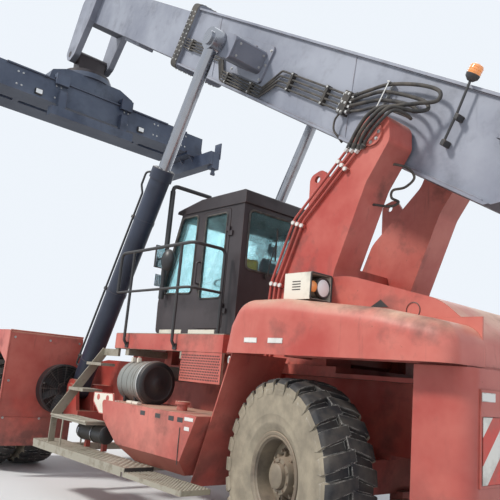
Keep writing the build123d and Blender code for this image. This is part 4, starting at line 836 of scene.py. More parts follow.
@dataclass(frozen=True)
class Studio:
    """Plain floor, soft light and the camera at the photograph's place."""

    camera_place: Point = (-5.335, -3.668, 1.59)
    yaw: float = math.radians(40.92)
    pitch: float = math.radians(11.64)
    roll: float = math.radians(5.03)
    lens: float = 44.06
    sensor: float = 36.0
    sight: float = 200.0
    floor_half: float = 60.0
    floor_colour: Colour = (0.72, 0.73, 0.74)
    # name, direction of the light's travel, colour, power per square metre, spread in radians
    suns: tuple[tuple[str, Point, Colour, float, float], ...] = (
        ("key_sun", (0.74, -0.28, -0.8), (1.0, 0.97, 0.92), 2.7, 0.16),
        ("fill_sun", (0.5, 0.9, -0.35), (0.86, 0.92, 1.0), 0.5, 1.2),
        ("back_sun", (-0.7, -0.8, -0.6), (0.95, 0.97, 1.0), 0.6, 0.9),
    )
    sky_colour: Colour = (0.86, 0.91, 0.97)
    sky_strength: float = 0.5

    def build(self, layout: Layout) -> None:
        """Set up floor, lights, world and camera.

        Args:
            layout: Local frames of the machine.
        """
        scene = bpy.context.scene
        scene.view_settings.view_transform = "Standard"
        self.add_camera(scene, layout)
        self.add_floor()
        self.add_world(scene)
        for name, travel, colour, power, spread in self.suns:
            light = bpy.data.lights.new(name, "SUN")
            light.color = colour
            light.energy = power
            light.angle = spread
            lamp = bpy.data.objects.new(name, light)
            lamp.rotation_mode = "QUATERNION"
            lamp.rotation_quaternion = Vector(travel).to_track_quat("-Z", "Y")
            scene.collection.objects.link(lamp)

    def add_camera(self, scene: bpy.types.Scene, layout: Layout) -> None:
        """Place the camera where the photograph was taken.

        Args:
            scene: Scene that gets the camera.
            layout: Local frames of the machine.
        """
        y, p, r = self.yaw, self.pitch, self.roll
        ahead = Vector((math.sin(y) * math.cos(p), math.cos(y) * math.cos(p), math.sin(p)))
        level = Vector((math.cos(y), -math.sin(y), 0.0))
        above = level.cross(ahead)
        right = level * math.cos(r) + above * math.sin(r)
        up = above * math.cos(r) - level * math.sin(r)
        data = bpy.data.cameras.new("camera")
        data.lens = self.lens
        data.sensor_width = self.sensor
        data.clip_end = self.sight
        camera = bpy.data.objects.new("camera", data)
        turn = Matrix((right, up, -ahead)).transposed().to_4x4()
        camera.matrix_world = layout.machine @ Matrix.Translation(self.camera_place) @ turn
        scene.collection.objects.link(camera)
        scene.camera = camera

    def add_floor(self) -> None:
        """Pale floor under the wheels."""
        data = bpy.data.meshes.new("floor")
        h = self.floor_half
        data.from_pydata([(-h, -h, 0), (h, -h, 0), (h, h, 0), (-h, h, 0)], [], [(0, 1, 2, 3)])
        g = Graph("pale_floor")
        data.materials.append(g.done(self.floor_colour, 0.85))
        floor = bpy.data.objects.new("floor", data)
        bpy.context.scene.collection.objects.link(floor)

    def add_world(self, scene: bpy.types.Scene) -> None:
        """Soft sky light, with a pale background where it is seen, mirrored or looked through."""
        world = bpy.data.worlds.new("studio")
        scene.world = world
        world.use_nodes = True
        tree = world.node_tree
        tree.nodes.clear()
        path = tree.nodes.new("ShaderNodeLightPath")
        seen = path.outputs["Is Camera Ray"]
        for name in ("Is Glossy Ray", "Is Transmission Ray"):
            most = tree.nodes.new("ShaderNodeMath")
            most.operation = "MAXIMUM"
            tree.links.new(seen, most.inputs[0])
            tree.links.new(path.outputs[name], most.inputs[1])
            seen = most.outputs[0]
        share = tree.nodes.new("ShaderNodeMapRange")
        tree.links.new(seen, share.inputs["Value"])
        share.inputs["To Min"].default_value = self.sky_strength
        share.inputs["To Max"].default_value = 1.0
        sky = tree.nodes.new("ShaderNodeBackground")
        sky.inputs["Color"].default_value = (*self.sky_colour, 1.0)
        tree.links.new(share.outputs["Result"], sky.inputs["Strength"])
        output = tree.nodes.new("ShaderNodeOutputWorld")
        tree.links.new(sky.outputs[0], output.inputs["Surface"])


def dress_nodes(frame: dict) -> None:
    """Give every CAD node its finish.
    """
    for finish, names in NODE_FINISHES:
        for name in names:
            node = frame["nodes"][name]
            node.data.materials.clear()
            node.data.materials.append(finish.material())


# Wheels


@dataclass
class Tyre:
    """Earthmover tyre: carcass with ringed sidewalls and staggered, slanted lugs."""

    radius: float = 0.805
    half: float = 0.25
    lugs: int = 26
    slant: float = 0.085
    flank: float = 1.18
    tread_depth: float = 0.05
    # place across the tyre, radius, from the bead over the shoulder to the middle
    carcass: tuple[Point, ...] = (
        (0.205, 0.318), (0.206, 0.362), (0.224, 0.385), (0.236, 0.418), (0.2385, 0.424), (0.2385, 0.436),
        (0.236, 0.442), (0.244, 0.49), (0.2465, 0.496), (0.2465, 0.504), (0.245, 0.51), (0.249, 0.58),
        (0.2495, 0.64), (0.243, 0.69), (0.228, 0.735), (0.19, 0.758), (0.1, 0.764), (0.0, 0.765),
    )
    # place across, radius of the top, half width of a lug as a share of its pitch, depth below the top
    stations: tuple[Point, ...] = (
        (-0.03, 0.805, 0.25, 0.05), (0.07, 0.8045, 0.27, 0.05), (0.16, 0.800, 0.3, 0.055),
        (0.222, 0.788, 0.31, 0.065), (0.2475, 0.76, 0.3, 0.055), (0.2498, 0.69, 0.26, 0.03),
    )
    sidewall_reach: float = 0.742

    def draw(self, name: str, frame: Matrix) -> Piece:
        """Draw the tyre round the X axis of a frame.

        Args:
            name: Name of the piece.
            frame: The wheel's frame.

        Returns:
            The piece, not yet placed.
        """
        piece = Piece(name, TYRE, frame)
        section = [*self.carcass, *((-x, r) for x, r in reversed(self.carcass[:-1]))]
        inside = [(-0.16, 0.31), (0.16, 0.31)]
        section += inside
        piece.lathe(section, steps=96, closed=True)
        pitch = 2 * math.pi / self.lugs
        for side in BOTH:
            for n in range(self.lugs):
                self.add_lug(piece, side, (n + side * 0.25) * pitch, pitch)
        piece.finish_where(SIDEWALL, lambda c: math.hypot(c.y, c.z) < self.sidewall_reach)
        return piece

    def add_lug(self, piece: Piece, side: int, turn: float, pitch: float) -> None:
        """Add one lug that runs slanted from the middle over the shoulder.

        Args:
            piece: Piece that gets the lug.
            side: -1 or 1 for the half of the tread.
            turn: Angle of its middle.
            pitch: Angle from one lug to the next.
        """
        rings = []
        for x, top, share, depth in self.stations:
            lead = turn + self.slant * (x / self.half - 0.5)
            foot, wide = top - depth, share * self.flank
            ring = []
            for radius, width in ((foot, wide), (top, share), (top, -share), (foot, -wide)):
                a = lead + width * pitch
                ring.append(piece.mesh.verts.new((side * x, radius * math.cos(a), radius * math.sin(a))))
            rings.append(ring)
        faces = [piece.mesh.faces.new(rings[0]), piece.mesh.faces.new(list(reversed(rings[-1])))]
        for first, second in zip(rings, rings[1:]):
            for k in range(4):
                m = (k + 1) % 4
                faces.append(piece.mesh.faces.new((first[m], first[k], second[k], second[m])))
        tops = [e for f in faces for e in f.edges
                if all(math.hypot(v.co.y, v.co.z) > self.radius - self.tread_depth for v in e.verts)]
        bmesh.ops.bevel(piece.mesh, geom=list(set(tops)), offset=0.005, segments=1, affect="EDGES")


@dataclass
class Rim:
    """Steel rim with lock ring, disc, ribbed hub, wheel nuts and domed cap."""

    dish: float
    hub: bool
    nuts: int = 10
    nut_circle: float = 0.205
    bore: float = 0.155
    # place across, radius of the barrel with its flanges
    barrel: tuple[Point, ...] = (
        (-0.219, 0.330), (-0.219, 0.352), (-0.212, 0.358), (-0.205, 0.352), (-0.203, 0.3175), (0.15, 0.3175),
        (0.19, 0.3178), (0.204, 0.327), (0.205, 0.352), (0.212, 0.358), (0.219, 0.353), (0.219, 0.338),
        (0.209, 0.325), (0.212, 0.318), (0.208, 0.308), (0.196, 0.304), (0.188, 0.296), (0.1, 0.294),
        (-0.2, 0.294),
    )

    def draw(self, name: str, frame: Matrix, outward: int) -> Piece:
        """Draw the rim round the X axis of a frame.

        Args:
            name: Name of the piece.
            frame: The wheel's frame.
            outward: -1 or 1, the side on which the hub shows.

        Returns:
            The piece, not yet placed.
        """
        piece = Piece(name, RIM, frame @ Matrix.Rotation(0.0 if outward > 0 else math.pi, 4, "Z"))
        piece.lathe(self.barrel, steps=80, closed=True)
        d = self.dish
        face = d + 0.03
        bore = 0.0 if self.hub else self.bore
        disc = [(d, bore), (d, 0.296), (d + 0.022, 0.296), (face, 0.285), (d + 0.034, 0.25), (face, 0.235),
                (face, bore)]
        piece.lathe(disc, steps=80, closed=not self.hub)
        if self.hub:
            self.add_hub(piece, face)
        return piece

    def add_hub(self, piece: Piece, face: float) -> None:
        """Add the hub casting, its ribs, nuts and cap.

        Args:
            piece: Piece that gets them.
            face: Place of the disc's outer face.
        """
        piece.lathe([(face - 0.005, 0.178), (face + 0.02, 0.176), (face + 0.03, 0.16), (face + 0.085, 0.152),
                     (face + 0.105, 0.145), (face + 0.108, 0.11), (face + 0.1, 0.104), (face + 0.138, 0.1),
                     (face + 0.148, 0.085), (face + 0.154, 0.045), (face + 0.156, 0.0)], steps=64)
        for n, (y, z) in enumerate(circle(self.nut_circle, self.nuts)):
            spot = (face, y, z)
            # washer, nut and stud
            piece.rod(spot, (face + 0.006, y, z), 0.033, sides=20)
            piece.rod(spot, (face + 0.034, y, z), 0.023, 0.021, sides=6)
            piece.rod(spot, (face + 0.052, y, z), 0.011, sides=12)
            turn = Matrix.Rotation(math.tau * (n + 0.5) / self.nuts, 4, "X")
            piece.box((face, 0.15, -0.011), (face + 0.06, 0.196, 0.011), 0.004, turn)
            piece.bolts([turn @ Vector((face + 0.1065, 0.128, 0))], (1, 0, 0), 0.009)


@dataclass
class Wheels:
    """All tyres and rims of the machine."""

    wheelbase: float = 6.0
    height: float = 0.805
    front_x: tuple[float, float] = (1.21, 1.82)
    rear_x: float = 1.39
    king_pin_x: float = 1.04
    parked_turn: float = math.radians(-12.0)
    rim_half: float = 0.219

    def build(self, layout: Layout) -> None:
        """Draw the wheels of both sides.

        Args:
            layout: Local frames of the machine.
        """
        tyre = Tyre()
        for side in SIDES:
            s, word = side.value, side.label
            spot = layout.steered_wheel(s * self.rear_x, s * self.king_pin_x, self.parked_turn, self.height)
            body = f"rear_wheel_{word}"
            tyre.draw(f"rear_tyre_{word}_lugs", spot).place(body, [f"rear_tyre_{word}"])
            Rim(0.02, True).draw(f"rear_rim_{word}_steel", spot, s).place(body, [f"rear_rim_{word}"])
            body = f"front_wheels_{word}"
            near, far = self.front_x
            for x, dish, hub, row in ((near, 0.12, False, "inner"), (far, -0.15, True, "outer")):
                spot = layout.wheel(s * x, self.wheelbase, self.height)
                tyre.draw(f"front_tyre_{word}_{row}", spot).place(body, [f"front_tyres_{word}"])
                Rim(dish, hub).draw(f"front_rim_{word}_{row}", spot, s).place(body, [f"front_rims_{word}"])
            spacer = Piece(f"wheel_spacer_{word}", RIM, layout.wheel(0, self.wheelbase, self.height))
            inner, outer = s * (near + self.rim_half), s * (far - self.rim_half)
            spacer.lathe([(inner, 0.318), (outer, 0.318), (outer, 0.294), (inner, 0.294)], closed=True)
            spacer.place(body)


# Boom and lift cylinders


@dataclass
class BoomDressing:
    """Collar band of painted shade, bolts, beacon, manifold and hoses of the outer boom, in the boom's frame.
    """

    half: float = 0.42
    collar_rear: float = 4.94
    collar_front: float = 5.13
    collar_half: float = 0.48
    collar_low: float = -0.226
    collar_high: float = 0.84
    band_depth: float = 0.006
    arm_plate_x: float = 0.62
    arm_face: float = 2.728
    beacon: Point = (-0.51, -0.49, 0.86)
    manifold_rows: tuple[float, ...] = (0.13, 0.19, 0.25, 0.31)
    # place along the boom, then the lower and the upper edge of each pipe clamp
    clamps: tuple[Point, ...] = (
        (1.3, 0.095, 0.335), (2.0, 0.095, 0.335), (2.76, -0.128, 0.034), (3.38, -0.128, 0.034),
        (4.08, 0.105, 0.29), (4.7, 0.105, 0.29),
    )
    # radius of each pivot hose, and of the ferrules at its ends
    hose_radii: tuple[float, ...] = (0.02, 0.02, 0.02, 0.016)
    ferrule_radius: float = 0.026
    # two places along the hoses' way from the towers to the boom, in the machine's frame
    bend_start: Point = (-0.862, 0.1, 3.93)
    bend_end: Point = (-0.862, 0.1, 4.5)
    # places from the left tower's pipes round the pivot to the manifold
    hoses: tuple[tuple[Point, ...], ...] = (
        ((-0.862, 0.193, -0.222), (-0.878, 0.18, -0.05), (-0.885, 0.14, 0.13), (-0.86, 0.07, 0.25),
         (-0.76, -0.02, 0.33), (-0.65, -0.17, 0.44), (-0.58, -0.31, 0.53), (-0.54, -0.24, 0.63),
         (-0.515, 0.05, 0.63), (-0.5, 0.42, 0.55), (-0.49, 0.66, 0.43), (-0.48, 0.87, 0.31)),
        ((-0.862, 0.126, -0.205), (-0.895, 0.11, -0.04), (-0.9, 0.06, 0.12), (-0.87, 0.01, 0.26),
         (-0.76, -0.06, 0.32), (-0.64, -0.2, 0.37), (-0.56, -0.24, 0.44), (-0.53, -0.08, 0.5),
         (-0.5, 0.42, 0.47), (-0.49, 0.68, 0.36), (-0.48, 0.87, 0.25)),
        ((-0.862, 0.059, -0.188), (-0.895, 0.05, -0.04), (-0.9, 0.0, 0.12), (-0.87, -0.06, 0.28),
         (-0.76, -0.11, 0.33), (-0.64, -0.16, 0.36), (-0.54, -0.12, 0.39), (-0.51, 0.05, 0.42),
         (-0.49, 0.42, 0.38), (-0.485, 0.68, 0.28), (-0.475, 0.87, 0.19)),
        ((-0.862, 0.02, -0.16), (-0.9, -0.02, -0.04), (-0.905, -0.06, 0.1), (-0.87, -0.12, 0.27),
         (-0.74, -0.16, 0.3), (-0.6, -0.14, 0.29), (-0.52, 0.04, 0.31), (-0.49, 0.42, 0.3),
         (-0.485, 0.66, 0.2), (-0.475, 0.87, 0.13)),
    )

    def build(self, layout: Layout) -> None:
        """Add the boom's pieces.

        Args:
            layout: Local frames of the machine.
        """
        self.add_collar(layout)
        self.add_arms(layout)
        self.add_seams(layout)
        self.add_beacon(layout)
        self.add_manifold(layout)
        self.add_hoses(layout)

    def add_collar(self, layout: Layout) -> None:
        """Add the dark band of painted shade round the collar, with its bolt rows."""
        # a dark rubber band round the collar paints the shade on its faces
        band = Piece("collar_band", HOSE, layout.boom)
        rear, front = self.collar_rear + 0.004, self.collar_front - 0.004
        loops = []
        for grow, u in ((self.band_depth, rear), (self.band_depth, front), (-0.004, front), (-0.004, rear)):
            x, low, high = self.collar_half + grow, self.collar_low - grow, self.collar_high + grow
            loops.append(rounded_loop([(-x, u, low), (x, u, low), (x, u, high), (-x, u, high)], 0.1))
        band.band(loops)
        band.place("outer_boom")
        bolts = Piece("collar_bolts", ZINC, layout.boom)
        rows = (self.collar_rear + 0.04, self.collar_front - 0.04)
        above, below = self.collar_high + self.band_depth, self.collar_low - self.band_depth
        for side in BOTH:
            x = side * (self.collar_half + self.band_depth)
            across = [side * (0.06 + 0.1 * n) for n in range(4)]
            for u in rows:
                bolts.bolts([(x, u, -0.1 + 0.072 * n) for n in range(12)], (side, 0, 0), 0.01)
            for u in rows:
                bolts.bolts([(a, u, above) for a in across], (0, 0, 1), 0.013)
                bolts.bolts([(a, u, below) for a in across], (0, 0, -1), 0.013)
        bolts.place("outer_boom")

    def add_arms(self, layout: Layout) -> None:
        """Add plates, bolts and pale hooks at the arms that carry the lift cylinders."""
        plates = Piece("ram_arm_plates", GREY, layout.boom)
        outline = [(2.76, 0.18), (2.98, 0.18), (2.98, 0.3), (3.12, 0.42), (3.12, 0.478), (2.76, 0.478)]
        for side in BOTH:
            x = side * self.arm_plate_x
            plates.plate(outline, "X", x, x + side * 0.02, 0.004)
            plates.box((side * 0.45, self.arm_face + 0.01, 0.2), (side * 0.96, self.arm_face, 0.44), 0.004)
        plates.place("outer_boom")
        bolts = Piece("ram_arm_bolts", ZINC, layout.boom)
        for side in BOTH:
            front = [(side * x, self.arm_face, v) for x in (0.5, 0.9) for v in (0.24, 0.4)]
            flank = [(side * (self.half + 0.03), u, v) for u in (2.68, 3.4) for v in (0.1, 0.3, 0.5)]
            bolts.bolts(front, (0, -1, 0), 0.012)
            bolts.bolts(flank, (side, 0, 0), 0.014)
        bolts.place("outer_boom")
        hooks = Piece("ram_arm_hooks", WHITE, layout.boom)
        for side in BOTH:
            for x, rise in ((0.93, 0.0), (0.8, -0.06)):
                near, far = side * x, side * (x + 0.01)
                bends = ((near, 3.34, 0.45), (far, 3.44, 0.44), (far, 3.51, 0.37), (near, 3.53, 0.26))
                hooks.tube(curve([(a, u, v + rise) for a, u, v in bends]), 0.02)
        hooks.place("outer_boom")

    def add_seams(self, layout: Layout) -> None:
        """Add weld seams along the boom's lips and slanting over its side plates."""
        seams = Piece("boom_weld_seams", GREY, layout.boom)
        for side in BOTH:
            x = side * (self.half + 0.003)
            for v in (-0.132, 0.746):
                seams.tube([(x, -1.15 + 0.25 * n, v) for n in range(25)], 0.008, 6)
            for u in (0.75, 3.85):
                seams.tube([(x, u + 0.4 * t / 8, -0.13 + 0.87 * t / 8) for t in range(9)], 0.006, 6)
        seams.place("outer_boom")

    def add_beacon(self, layout: Layout) -> None:
        """Add the beacon's ribbed lens on its bent stalk."""
        lens = Piece("beacon_lens", AMBER_LENS, layout.boom)
        lens.lathe([(0.0, 0.0), (0.0, 0.064), (0.07, 0.0645), (0.09, 0.056), (0.102, 0.03), (0.105, 0.0)],
                   self.beacon, "Z", 32)
        for rib in (0.02, 0.045, 0.07):
            lens.lathe([(rib - 0.004, 0.063), (rib, 0.068), (rib + 0.004, 0.063)], self.beacon, "Z", 32)
        lens.place("outer_boom")
        stalk = Piece("beacon_stalk", BLACK, layout.boom)
        bends = [(-0.43, -0.55, 0.2), (-0.51, -0.55, 0.2), (-0.51, -0.53, 0.5), (-0.51, -0.49, 0.82)]
        stalk.tube(rounded(bends, 0.03), 0.013)
        stalk.lathe([(-0.06, 0.0), (-0.06, 0.03), (-0.03, 0.062), (0.004, 0.068), (0.004, 0.0)],
                    self.beacon, "Z", 32)
        for v in (0.2, 0.46):
            stalk.box((-0.53, -0.575, v - 0.03), (-0.42, -0.525, v + 0.03), 0.006)
        stalk.place("outer_boom")

    def add_manifold(self, layout: Layout) -> None:
        """Add fittings at the manifold, bolts of the pipe clamps, a frame round the hoses and a tail hose."""
        fittings = Piece("manifold_fittings", ZINC, layout.boom)
        for v in self.manifold_rows:
            fittings.rod((-0.48, 0.83, v), (-0.48, 0.885, v), 0.027, sides=6)
            fittings.rod((-0.462, 0.95, v - 0.006), (-0.462, 1.02, v - 0.006), 0.023, sides=6)
        for v in (0.11, 0.215, 0.32):
            fittings.bolts([(-0.52, 0.895, v), (-0.52, 0.945, v)], (-1, 0, 0), 0.011)
        for u, low, high in self.clamps:
            fittings.bolts([(-0.484, u + 0.02, v) for v in (low + 0.02, high - 0.02)], (-1, 0, 0), 0.01)
        fittings.box((-0.53, 0.4, 0.27), (-0.45, 0.44, 0.285), 0.003)
        fittings.box((-0.54, 0.4, 0.565), (-0.45, 0.44, 0.58), 0.003)
        fittings.box((-0.53, 0.412, 0.27), (-0.522, 0.428, 0.58), 0.002)
        fittings.box((-0.46, 0.41, 0.27), (-0.415, 0.43, 0.58), 0.002)
        fittings.place("outer_boom")
        tail = Piece("manifold_tail_hose", HOSE, layout.boom)
        tail.tube(curve([(-0.49, 0.93, 0.09), (-0.5, 0.94, 0.0), (-0.49, 0.9, -0.1), (-0.46, 0.82, -0.15),
                         (-0.4, 0.78, -0.19)]), 0.012)
        tail.place("outer_boom")

    def add_hoses(self, layout: Layout) -> None:
        """Add the hoses that bend between the left tower and the manifold."""
        for n, (places, radius) in enumerate(zip(self.hoses, self.hose_radii), start=1):
            hose = Piece(f"pivot_hose_{n}", HOSE, layout.boom)
            line = curve(places, 9)
            hose.tube(line, radius)
            for a, b in ((line[0], line[3]), (line[-4], line[-1])):
                hose.rod(a, b, self.ferrule_radius, sides=12)
            piece = hose.place("outer_boom")
            # the hose is taken off its body and hangs on none
            world = piece.matrix_world.copy()
            piece.parent = None
            piece.matrix_world = world
            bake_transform(piece)


@dataclass
class CylinderDressing:
    """Gland, bolts, bands and side pipe of both lift cylinders."""

    foot_x: float = 1.08
    foot: tuple[float, float] = (4.72, 1.22)
    lean: float = math.radians(27.304)
    barrel: float = 0.14
    length: float = 3.39
    bolt_circle: float = 0.12
    bands: tuple[float, ...] = (0.42, 1.5, 2.6)
    band_width: float = 0.05

    def build(self, layout: Layout) -> None:
        """Add the pieces of both cylinders.

        Args:
            layout: Local frames of the machine.
        """
        for side in SIDES:
            frame = layout.cylinder(side, self.foot_x, self.foot, self.lean)
            self.add_gland(side, frame)
            self.add_pipe(side, frame)

    def add_gland(self, side: Side, frame: Matrix) -> None:
        """Add the bolted gland at the top and the bands round the barrel.

        Args:
            side: Side of the machine.
            frame: The cylinder's frame.
        """
        body = f"lift_barrel_{side.label}"
        gland = Piece(f"cylinder_gland_{side.label}", RAM, frame)
        r, top = self.barrel, self.length
        gland.lathe([(top - 0.13, r - 0.002), (top - 0.12, r + 0.018), (top - 0.01, r + 0.018),
                     (top + 0.004, r + 0.006), (top + 0.004, 0.094), (top - 0.02, 0.094)], axis="Z", steps=48)
        for z in self.bands:
            end = z + self.band_width
            gland.lathe([(z, r - 0.002), (z, r + 0.006), (end, r + 0.006), (end, r - 0.002)], axis="Z")
        gland.place(body)
        bolts = Piece(f"cylinder_gland_bolts_{side.label}", ZINC, frame)
        bolts.bolts([(x, y, top + 0.004) for x, y in circle(self.bolt_circle, 12)], (0, 0, 1), 0.011)
        bolts.place(body)

    def add_pipe(self, side: Side, frame: Matrix) -> None:
        """Add the oil pipe along the barrel, with a clip on every band.

        Args:
            side: Side of the machine.
            frame: The cylinder's frame.
        """
        pipe = Piece(f"cylinder_pipe_{side.label}", BLACK, frame)
        s = side.value
        x, y = s * 0.11, 0.13
        pipe.tube(rounded([(s * 0.08, 0.09, 0.3), (x, y + 0.02, 0.3), (x, y, 2.98), (s * 0.145, 0.17, 3.08),
                           (s * 0.145, 0.17, 3.27), (s * 0.08, 0.1, 3.31)], 0.06), 0.015)
        for band in self.bands:
            z = band + self.band_width / 2
            pipe.box((x - 0.025, y - 0.035, z - 0.02), (x + 0.025, y + 0.02, z + 0.02), 0.004)
        pipe.place(f"lift_barrel_{side.label}")


@dataclass
class TowerDressing:
    """Clamp caps, pipe ends, pivot bolts and a hanging cable on the towers."""

    face: float = 0.84
    pipe_pitch: float = 0.066
    pivot: tuple[float, float] = (-0.15, 4.0)
    # place along the machine, height and lean in degrees of each clamp bar
    clamps: tuple[Point, ...] = ((1.01, 2.57, 10), (0.752, 3.2, 20), (0.19, 3.74, 46))
    cable: tuple[Point, ...] = (
        (-0.635, -0.18, 3.76), (-0.56, -0.36, 3.7), (-0.51, -0.42, 3.6), (-0.51, -0.32, 3.52),
        (-0.54, -0.2, 3.5), (-0.53, -0.18, 3.43), (-0.51, -0.25, 3.38), (-0.54, -0.18, 3.34),
        (-0.635, -0.02, 3.36),
    )

    def build(self, layout: Layout) -> None:
        """Add the pieces.

        Args:
            layout: Local frames of the machine.
        """
        caps = Piece("tower_clamp_caps", WHITE, layout.machine)
        for y, z, lean in self.clamps:
            a = math.radians(lean)
            for shift in (-self.pipe_pitch, 0.0, self.pipe_pitch):
                spot = Vector((-self.face - 0.036, y + shift * math.cos(a), z + shift * math.sin(a)))
                caps.rod(spot, spot + Vector((-0.016, 0, 0)), 0.026, 0.022, sides=8)
        caps.place("chassis")
        ends = Piece("tower_pipe_ends", ZINC, layout.machine)
        x = -self.face - 0.022
        for n in range(3):
            y, z = 0.13 - self.pipe_pitch * n, 3.91 - 0.02 * n
            ends.rod((x, y + 0.03, z - 0.028), (x, y - 0.015, z + 0.014), 0.026, sides=6)
        for side in BOTH:
            x = side * (self.face + 0.024)
            ends.bolts([(x, y, z) for y, z in circle(0.09, 8, self.pivot)], (side, 0, 0), 0.013)
        ends.place("chassis")
        cable = Piece("tower_cable", HOSE, layout.machine)
        cable.tube(curve(self.cable), 0.013)
        cable.place("chassis")


@dataclass
class SpreaderDressing:
    """Bolts, work lamps and hoses on the spreader's frame."""

    middle_y: float = 8.6
    depth: float = 0.56
    low: float = 6.73
    top: float = 7.24
    bolt_places: tuple[float, ...] = (-2.4, -1.6, -0.8, 0.8, 1.6, 2.4)
    lamp_places: tuple[float, ...] = (-1.2, 1.2)
    hoses: int = 4
    hose_pitch: float = 0.05

    def build(self, layout: Layout) -> None:
        """Add the pieces.

        Args:
            layout: Local frames of the machine.
        """
        bolts = Piece("spreader_beam_bolts", ZINC, layout.machine)
        for end in BOTH:
            y = self.middle_y + end * self.depth
            for x in self.bolt_places:
                four = [(x + dx, y, self.low + dz) for dx in (-0.05, 0.05) for dz in (0.12, 0.38)]
                bolts.bolts(four, (0, end, 0), 0.014)
        bolts.place("spreader_frame")
        lamps = Piece("spreader_lamp", BLACK, layout.machine)
        y = self.middle_y - self.depth - 0.02
        for x in self.lamp_places:
            lamps.box((x - 0.08, y - 0.03, self.low + 0.05), (x + 0.08, y + 0.03, self.low + 0.17), 0.01)
        lamps.place("spreader_frame")
        glass = Piece("spreader_lamp_lenses", WHITE_LENS, layout.machine)
        low, high = self.low + 0.065, self.low + 0.155
        for x in self.lamp_places:
            glass.box((x - 0.065, y - 0.036, low), (x + 0.065, y - 0.03, high), 0.004)
        glass.place("spreader_frame")
        hoses = Piece("spreader_hoses", HOSE, layout.machine)
        for n in range(self.hoses):
            x = 0.1 + self.hose_pitch * n
            # step to the right, back from the middle and up from the top
            bends = ((0.0, 0.3, 0.02), (0.1, 0.38, 0.09), (0.5, 0.42, 0.06), (1.0, 0.42, 0.03))
            hoses.tube(curve([(x + dx, self.middle_y - dy, self.top + dz) for dx, dy, dz in bends]), 0.014)
        hoses.place("spreader_frame")


# Cab


